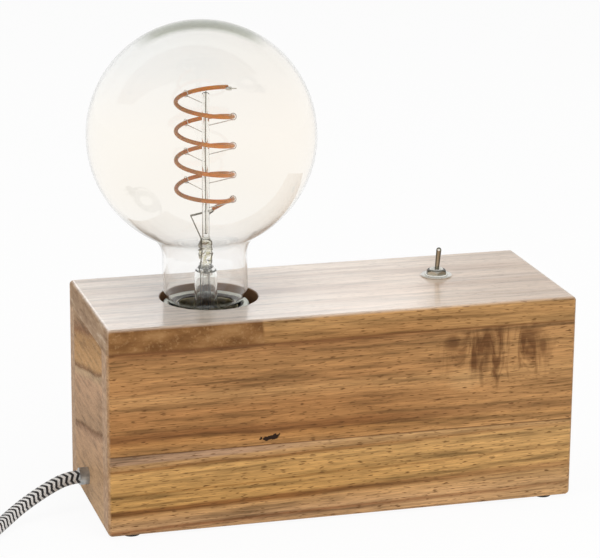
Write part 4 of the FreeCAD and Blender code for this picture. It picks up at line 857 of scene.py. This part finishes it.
def make_stem():
    foot = GLASS_COLLAR - GLASS_WALL - 0.6 * MM
    inner = FLARE_RADIUS - FLARE_WALL
    outline = [(foot, GLASS_END_Z), (foot, GLASS_END_Z + FLARE_WALL), (7.4 * MM, GLASS_END_Z + 3.0 * MM),
               (5.6 * MM, GLASS_END_Z + 5.0 * MM), (FLARE_RADIUS, GLASS_END_Z + 8 * MM),
               (FLARE_RADIUS, PINCH_LOW_Z - 3 * MM), (4.4 * MM, PINCH_LOW_Z - 1.2 * MM),
               (3.0 * MM, PINCH_LOW_Z + 0.6 * MM), (0.0, PINCH_LOW_Z + 1 * MM), (0.0, PINCH_LOW_Z - 1 * MM),
               (inner - 0.6 * MM, PINCH_LOW_Z - 2 * MM), (inner, PINCH_LOW_Z - 4 * MM),
               (inner, GLASS_END_Z + 8 * MM), (4.9 * MM, GLASS_END_Z + 5.0 * MM),
               (6.7 * MM, GLASS_END_Z + 2.6 * MM), (foot - 1.0 * MM, GLASS_END_Z)]
    glass = clear_glass("stem_glass_clear", (0.97, 0.975, 0.96))
    flare = revolve("stem_flare", outline, BULB_X, sides=64)
    put_on(flare, "bulb", glass, "stem_glass", "stem_glass")
    # the pinch: glass pressed flat round the wires, with uneven facets
    sections, sides, vertices = 9, 9, []
    half_wide, top_wide, half_thick, wobble = 3.0 * MM, 1.8 * MM, 1.7 * MM, 0.35 * MM
    uneven = np.random.default_rng(4)
    for i in range(sections + 1):
        share = i / sections
        z = PINCH_LOW_Z - 0.5 * MM + share * (PINCH_HIGH_Z + 0.6 * MM - PINCH_LOW_Z)
        wide = half_wide - (half_wide - top_wide) * max(0.0, share - 0.8) / 0.2
        for j in range(sides):
            angle = 2 * math.pi * j / sides + 0.5 * uneven.uniform(-1, 1)
            dent = 1 + 0.16 * uneven.uniform(-1, 1)
            vertices.append((BULB_X + wide * dent * math.cos(angle), half_thick * dent * math.sin(angle),
                             z + wobble * uneven.uniform(-1, 1) * (0 < i < sections)))
    faces = []
    for i in range(sections):
        for j in range(sides):
            a, b = i * sides + j, i * sides + (j + 1) % sides
            faces.append((a, b, b + sides, a + sides))
    faces += [tuple(range(sides))[::-1], tuple(range(sections * sides, (sections + 1) * sides))]
    pinch = mesh_object("stem_pinch", vertices, faces, smooth=False)
    put_on(pinch, "bulb", pinch_glass(), "stem_glass")
    bore = 0.6 * MM
    rod_low = PINCH_HIGH_Z - 0.3 * MM
    rod = revolve("stem_rod", [(0, rod_low), (1.9 * MM, rod_low), (ROD_RADIUS, rod_low + 1.5 * MM),
                               (ROD_RADIUS, ROD_TOP_Z - 0.4 * MM), (1.1 * MM, ROD_TOP_Z), (bore, ROD_TOP_Z),
                               (bore, rod_low + 2.5 * MM), (0, rod_low + 2.2 * MM)], BULB_X, sides=40)
    put_on(rod, "bulb", glass, "stem_glass")
    low, high = GLASS_END_Z + 1.5 * MM, PINCH_LOW_Z - 1.0 * MM
    inner, outer = 1.0 * MM, 1.6 * MM
    exhaust = revolve("stem_exhaust", [(inner, low), (outer, low), (outer, high), (inner, high)], BULB_X, sides=32)
    put_on(exhaust, "bulb", glass, "stem_glass")


def pinch_glass():
    """Pressed glass with bubbles, and olive lines painted into its colour as the painted refraction of the wires
    inside.
    """
    tree = Tree("pinch_glass")
    cloud = tree.noise(tree.place(), (900, 900, 420), detail=3.0)
    # olive streaks: painted refraction of the wires inside the pinch
    colour = tree.ramp(cloud, [(0.38, (0.50, 0.46, 0.28)), (0.46, (0.90, 0.89, 0.78)),
                               (0.56, (0.99, 0.99, 0.97))])
    return tree.principled(Base_Color=colour, Roughness=0.05, IOR=GLASS_IOR, Transmission_Weight=1.0,
                           Normal=tree.bump(cloud, 0.3 * MM, 0.4))


FILAMENT_RADIUS = 11.7 * MM
FILAMENT_STRAND = 0.88 * MM
FILAMENT_PITCH = 12.2 * MM
CHIP_PITCH = 1.3 * MM
FILAMENT_X = BULB_X - 0.5 * MM
FILAMENT_START = 23.5
FILAMENT_TOP_Z = TOP_Z + 87.6 * MM
FILAMENT_STEADY = 1220.0
FILAMENT_FLAT = 186.0
FILAMENT_FLAT_DROP = 4.5 * MM
FILAMENT_TAIL = 69.0
FILAMENT_TAIL_DROP = 7.0 * MM
FILAMENT_END = FILAMENT_STEADY + FILAMENT_FLAT + FILAMENT_TAIL
SUPPORTS = ((93.5, 2.6 * MM), (320.5, 3.8 * MM))    # degrees along the helix, and the fall to the rod
SUPPORT_TURNS = 4


def filament_place(turned_by):
    """A point of the filament's centre line, this many degrees along it from its upper end."""
    angle = math.radians(FILAMENT_START + turned_by)
    fall = FILAMENT_PITCH * min(turned_by, FILAMENT_STEADY) / 360
    flat = max(0.0, turned_by - FILAMENT_STEADY)
    fall += FILAMENT_FLAT_DROP * min(flat, FILAMENT_FLAT) / FILAMENT_FLAT
    tail = max(0.0, flat - FILAMENT_FLAT)
    fall += FILAMENT_TAIL_DROP * (tail / FILAMENT_TAIL) ** 1.3
    return Vector((FILAMENT_X + FILAMENT_RADIUS * math.cos(angle), FILAMENT_RADIUS * math.sin(angle),
                   FILAMENT_TOP_Z - fall))


def filament_material():
    """Copper-orange silicone over a row of chips, with painted shade: browner at the left, brighter orange at the
    right.
    """
    tree = Tree("filament_silicone")
    uv = tree.add("UVMap", settings={"uv_map": "along_around"})
    chips = tree.math("PINGPONG", tree.math("DIVIDE", tree.axes(uv)[0], CHIP_PITCH), 0.5)
    # painted shade: the coil's colour goes from brown at the lamp's left to bright orange at its right
    right = tree.span(tree.axes(tree.place())[0], BULB_X - 11 * MM, BULB_X + 9 * MM)
    orange_with_painted_shade = tree.ramp(right, [(0.0, (0.60, 0.235, 0.065)), (0.35, (0.84, 0.285, 0.045)),
                             (0.75, (0.95, 0.31, 0.025)), (1.0, (0.90, 0.34, 0.07))])
    cloud = tree.noise(tree.place(), (260, 260, 260), detail=3.0)
    colour = tree.over(orange_with_painted_shade, (0.40, 0.20, 0.09), tree.span(cloud, 0.45, 0.65), 0.4)
    colour = tree.over(colour, (0.80, 0.42, 0.16), tree.span(chips, 0.15, 0.0), 0.3)
    return tree.principled(Base_Color=colour, Roughness=0.32, Subsurface_Weight=0.25,
                           Subsurface_Scale=0.0006, Specular_IOR_Level=0.2)


def wire(name, points, radius, spacing, sides, uv=False):
    """A tube along points, with its own points an even distance apart."""
    return tube(name, even_points(np.array([tuple(p) for p in points]), spacing), radius, sides, uv=uv)


def make_filament():
    step = 2.5
    points = [filament_place(step * i) for i in range(int(FILAMENT_END / step) + 1)]
    points.append(filament_place(FILAMENT_END))
    strand = wire("filament_strand", points, FILAMENT_STRAND, 0.45 * MM, 20, uv=True)
    put_on(strand, "bulb", filament_material(), "filament_phosphor", "filament")
    hooks = [support_wire(first + 360 * turn, fall) for first, fall in SUPPORTS for turn in range(SUPPORT_TURNS)]
    steel = metal("support_wire", (0.80, 0.78, 0.72), 0.25, 0.2)
    put_on(joined("filament_hooks", hooks), "bulb", steel, "filament_metal", "filament_supports")


LEAD_SPACING = 4.4 * MM
LEAD_RADIUS = 0.25 * MM


def make_lead_wires():
    """The wire and flat strip to the filament's lower end, a kinked wire beside it, one in the rod."""
    end = filament_place(FILAMENT_END)
    ahead = (end - filament_place(FILAMENT_END - 1)).normalized()
    ferrule = end + ahead * 2.4 * MM
    corner = ferrule + Vector((-8.2, -2.0, -0.9)) * MM
    left, right = BULB_X - LEAD_SPACING / 2, BULB_X + LEAD_SPACING / 2

    def at(x, z, aside=0.0, up=0.0, back=0.0):
        return x + aside * MM, back * MM, z + up * MM

    rising = [at(left, GLASS_END_Z, up=-4), at(left, PINCH_LOW_Z), at(left, PINCH_HIGH_Z, 0.6, -3),
              at(left, PINCH_HIGH_Z, 0, 0.6), corner + Vector((0.5, 0, -1.0)) * MM, corner]
    kinked = [at(right, GLASS_END_Z, up=-4), at(right, PINCH_LOW_Z, -0.3, -9), at(right, PINCH_LOW_Z, -1.2, -3),
              at(right, PINCH_LOW_Z, -0.2, 0.5, -0.4), at(right, PINCH_LOW_Z, 0.1, 4, -0.3),
              at(right, PINCH_HIGH_Z, 0.1, -2), at(right, PINCH_HIGH_Z, -1.2, -0.3)]
    inner = [at(BULB_X, PINCH_HIGH_Z, up=2.4), at(BULB_X, ROD_TOP_Z, -0.1, -20), at(BULB_X, ROD_TOP_Z, 0.15, 0.6)]
    wires = [wire("wire", points, LEAD_RADIUS, 0.5 * MM, 10) for points in (rising, kinked, inner)]
    wires.append(wire("strip", [corner, ferrule], 0.42 * MM, 0.5 * MM, 10))
    grey = metal("lead_grey", (0.33, 0.31, 0.25), 0.35, 0.4, 700)
    put_on(joined("wires", wires), "bulb", grey, "filament_metal", "lead_wires")


def joined(name, parts):
    """Several mesh objects made into one."""
    mesh = bmesh.new()
    for part in parts:
        mesh.from_mesh(part.data)
        bpy.data.objects.remove(part)
    data = bpy.data.meshes.new(name)
    mesh.to_mesh(data)
    mesh.free()
    data.shade_smooth()
    thing = bpy.data.objects.new(name, data)
    bpy.context.scene.collection.objects.link(thing)
    return thing


def support_wire(turned_by, fall):
    """A thin wire from the rod to the strand, with a ring of one and a quarter turns round it."""
    strand = filament_place(turned_by)
    ahead = (filament_place(turned_by + 0.5) - filament_place(turned_by - 0.5)).normalized()
    outward = Vector((strand.x - BULB_X, strand.y, 0)).normalized()
    up = outward.cross(ahead).normalized()
    if up.z < 0:
        up = -up
    loop, steps = FILAMENT_STRAND + 0.5 * MM, 28
    points = [Vector((BULB_X, 0, strand.z - fall)) + outward * ROD_RADIUS * 0.8]
    for i in range(steps + 1):
        angle = -math.pi / 2 - 0.35 + i / steps * 2 * math.pi * 1.22
        drift = ahead * (i / steps - 0.5) * 0.9 * MM
        points.append(strand + (outward * math.cos(angle) + up * math.sin(angle)) * loop + drift)
    return wire("hook", points, 0.2 * MM, 0.25 * MM, 8)


# ---- holder and cap: round things with threads ----
THREAD_PITCH = 25.4 * MM / 7


def threaded(depth, low, high, pitch=THREAD_PITCH):
    """A rounded thread pressed into a wall between two heights."""
    def shape(angle, r, z):
        fade = min(1.0, max(0.0, (z - low) / pitch), max(0.0, (high - z) / pitch))
        turns = z / pitch - angle / (2 * math.pi)
        return r - depth * fade * (0.5 - 0.5 * math.cos(2 * math.pi * turns)), z
    return shape


def wall_points(r, low, high, count):
    return [(r, low + (high - low) * i / count) for i in range(count + 1)]


def make_cap():
    low = CAP_RIM_Z - 22 * MM
    outer = 13.1 * MM
    inner = outer - 0.4 * MM
    outline = [(11.6 * MM, low), (12.6 * MM, low + 0.5 * MM)]
    outline += wall_points(outer, low + 1.5 * MM, CAP_RIM_Z - 1.0 * MM, 90)
    outline += [(13.5 * MM, CAP_RIM_Z - 0.8 * MM), (13.55 * MM, CAP_RIM_Z - 0.3 * MM), (13.3 * MM, CAP_RIM_Z),
                (inner + 0.2 * MM, CAP_RIM_Z - 0.2 * MM)]
    outline += wall_points(inner, CAP_RIM_Z - 1.4 * MM, low + 2.0 * MM, 90)
    outline += [(11.2 * MM, low + 0.5 * MM)]
    cap = revolve("cap_thread", outline, BULB_X, sides=96,
                  shape=threaded(1.0 * MM, low + 1 * MM, CAP_RIM_Z - 4.5 * MM))
    put_on(cap, "bulb", cap_metal(), "cap_nickel", "bulb_cap")


def cap_metal():
    """Nickel, mottled olive and gold all over, the rolled rim and the inside too."""
    tree = Tree("cap_nickel_olive")
    cloud = tree.noise(tree.place(), (260, 260, 500), detail=3.0)
    colour = tree.ramp(cloud, [(0.38, (0.48, 0.41, 0.20)), (0.52, (0.72, 0.65, 0.42)),
                               (0.66, (0.88, 0.84, 0.68))])
    return tree.principled(Base_Color=colour, Metallic=0.6, Roughness=0.35)


def make_ring():
    """The shade ring in the hole, with a rounded rim and a sloping inside."""
    low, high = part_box("shade_ring")
    outer, inner, foot = 18.1 * MM, 15.6 * MM, 13.9 * MM
    rim, lip = 0.8 * MM, 0.6 * MM
    outline = [(foot, low.z), (outer, low.z)] + wall_points(outer, low.z + 0.2 * MM, high.z - 0.9 * MM, 4)
    outline += arc((outer - rim, high.z - rim), rim, 0, math.pi / 2, 6)
    outline += arc((inner + lip, high.z - lip), lip, math.pi / 2, math.pi * 0.8, 6)
    outline.append((foot, low.z + 0.5 * MM))
    ring = revolve("ring_band", outline, BULB_X, sides=128)
    satin = metal("ring_satin", (0.90, 0.92, 0.84), 0.42, 0.15, 120)
    put_on(ring, "housing", satin, "ring_metal", "shade_ring")


# ---- switch ----
def switch_nickel():
    """Polished nickel with painted reflection in its colour: a painted pale highlight in the middle, and a painted
    dark reflection, near black, where it turns away.
    """
    tree = Tree("switch_nickel")
    # painted reflection: the colour follows how squarely the surface faces the view, pale facing it and near black
    # edge on
    colour = tree.ramp(tree.edge_on(), [(0.02, (0.95, 0.93, 0.86)), (0.12, (0.62, 0.58, 0.48)),
                                        (0.30, (0.16, 0.14, 0.09)), (0.60, (0.05, 0.045, 0.035))])
    return tree.principled(Base_Color=colour, Metallic=1.0, Roughness=0.22)


def make_switch():
    bright = metal("washer_nickel", (0.84, 0.83, 0.77), 0.24, 0.12, 900)
    nickel_with_painted_reflection = switch_nickel()
    low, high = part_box("switch_washer")
    x, y = (low.x + high.x) / 2, (low.y + high.y) / 2
    rim, bore = high.x - x, 3.1 * MM
    dish = [(bore, low.z), (rim - 0.15 * MM, low.z), (rim, low.z + 0.2 * MM), (rim, low.z + 0.55 * MM),
            (rim - 0.35 * MM, low.z + 0.85 * MM), (rim - 0.9 * MM, low.z + 0.75 * MM),
            (rim - 1.6 * MM, low.z + 0.80 * MM), (5.0 * MM, high.z), (bore, high.z)]
    put_on(revolve("washer_dished", dish, x, y, 96), "housing", bright, "switch_metal", "switch_washer")
    low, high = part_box("switch_bushing")
    outer, bore = 3.0 * MM, 1.95 * MM
    bushing = [(bore, low.z), (outer, low.z)] + wall_points(outer, low.z + 0.2 * MM, high.z - 0.35 * MM, 70)
    bushing += [(2.7 * MM, high.z), (2.3 * MM, high.z), (1.6 * MM, high.z - 1.3 * MM), (bore, high.z - 1.9 * MM)]
    thread = threaded(0.22 * MM, low.z, high.z - 0.2 * MM, 0.7 * MM)
    sleeve = revolve("bushing_thread", bushing, x, y, 64,
                     shape=lambda a, r, z: thread(a, r, z) if r > 2.9 * MM else (r, z))
    put_on(sleeve, "housing", bright, "switch_metal", "switch_bushing")
    # the nut and lever get the nickel with painted reflection in its colour
    for node in ("switch_nut", "switch_lever"):
        dress(node, nickel_with_painted_reflection)
        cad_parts[node].data.set_sharp_from_angle(angle=math.radians(40))


# ---- plug ----
def make_plug():
    dress("plug_body", plain("plug_black", (0.018, 0.018, 0.019), 0.42, 0.04 * MM, 1800))
    dress("plug_relief", plain("relief_rubber", (0.014, 0.014, 0.015), 0.6))
    dress("plug_pins", metal("pin_nickel", (0.70, 0.69, 0.66), 0.2, 0.1))


def dress_rest():
    zinc = metal("zinc_plated", (0.60, 0.61, 0.62), 0.34, 0.25, 200)
    brass = metal("brass_plain", (0.78, 0.58, 0.27), 0.28, 0.2, 200)
    groups = {
        "panel_screws plate_screws clamp_screws holder_plate": zinc,
        "holder_skirt holder_dome": plain("holder_black", (0.022, 0.021, 0.020), 0.45),
        "foot_pads": plain("pad_felt", (0.035, 0.034, 0.032), 0.9, 0.1 * MM),
        "holder_insert": plain("steatite_white", (0.76, 0.73, 0.66), 0.5),
        "holder_terminals terminal_screws screw_shell centre_contact": brass,
        "cap_contact switch_rocker switch_lugs": brass,
        "cap_insulator": plain("black_glass", (0.012, 0.012, 0.014), 0.1),
        "filament_terminals": metal("wire_silver", (0.68, 0.66, 0.60), 0.3, 0.3),
        "driver_board": plain("board_white", (0.70, 0.72, 0.66), 0.4),
        "driver_capacitor": plain("capacitor_black", (0.02, 0.02, 0.03), 0.3),
        "switch_body": plain("switch_red", (0.33, 0.03, 0.02), 0.35),
        "cord_sleeve sleeve_nut": metal("sleeve_galvanised", (0.56, 0.58, 0.58), 0.38, 0.45, 330),
        "cord_clamp": plain("clamp_white", (0.72, 0.71, 0.67), 0.5),
        "live_wire switched_wire": plain("wire_brown", (0.10, 0.035, 0.012), 0.35),
        "neutral_wire": plain("wire_blue", (0.02, 0.09, 0.36), 0.35),
        "cord_inner": plain("inner_braid", (0.10, 0.10, 0.10), 0.8),
        "front_plank_upper": upper_front_wood(),
        "front_plank_lower": lower_front_wood(),
        "back_plank_upper back_plank_lower": back_wood(),
        "top_board": top_wood(),
        "left_end_board right_end_board": end_wood(),
        "bottom_panel corner_blocks": plywood(),
    }
    for names, material in groups.items():
        for name in names.split():
            dress(name, material)


bpy.context.scene.view_settings.view_transform = "Standard"
make_camera()
make_world()
make_floor()
make_lights()
make_cord()
make_globe()
make_stem()
make_filament()
make_lead_wires()
make_cap()
make_ring()
make_switch()
make_plug()
dress_rest()
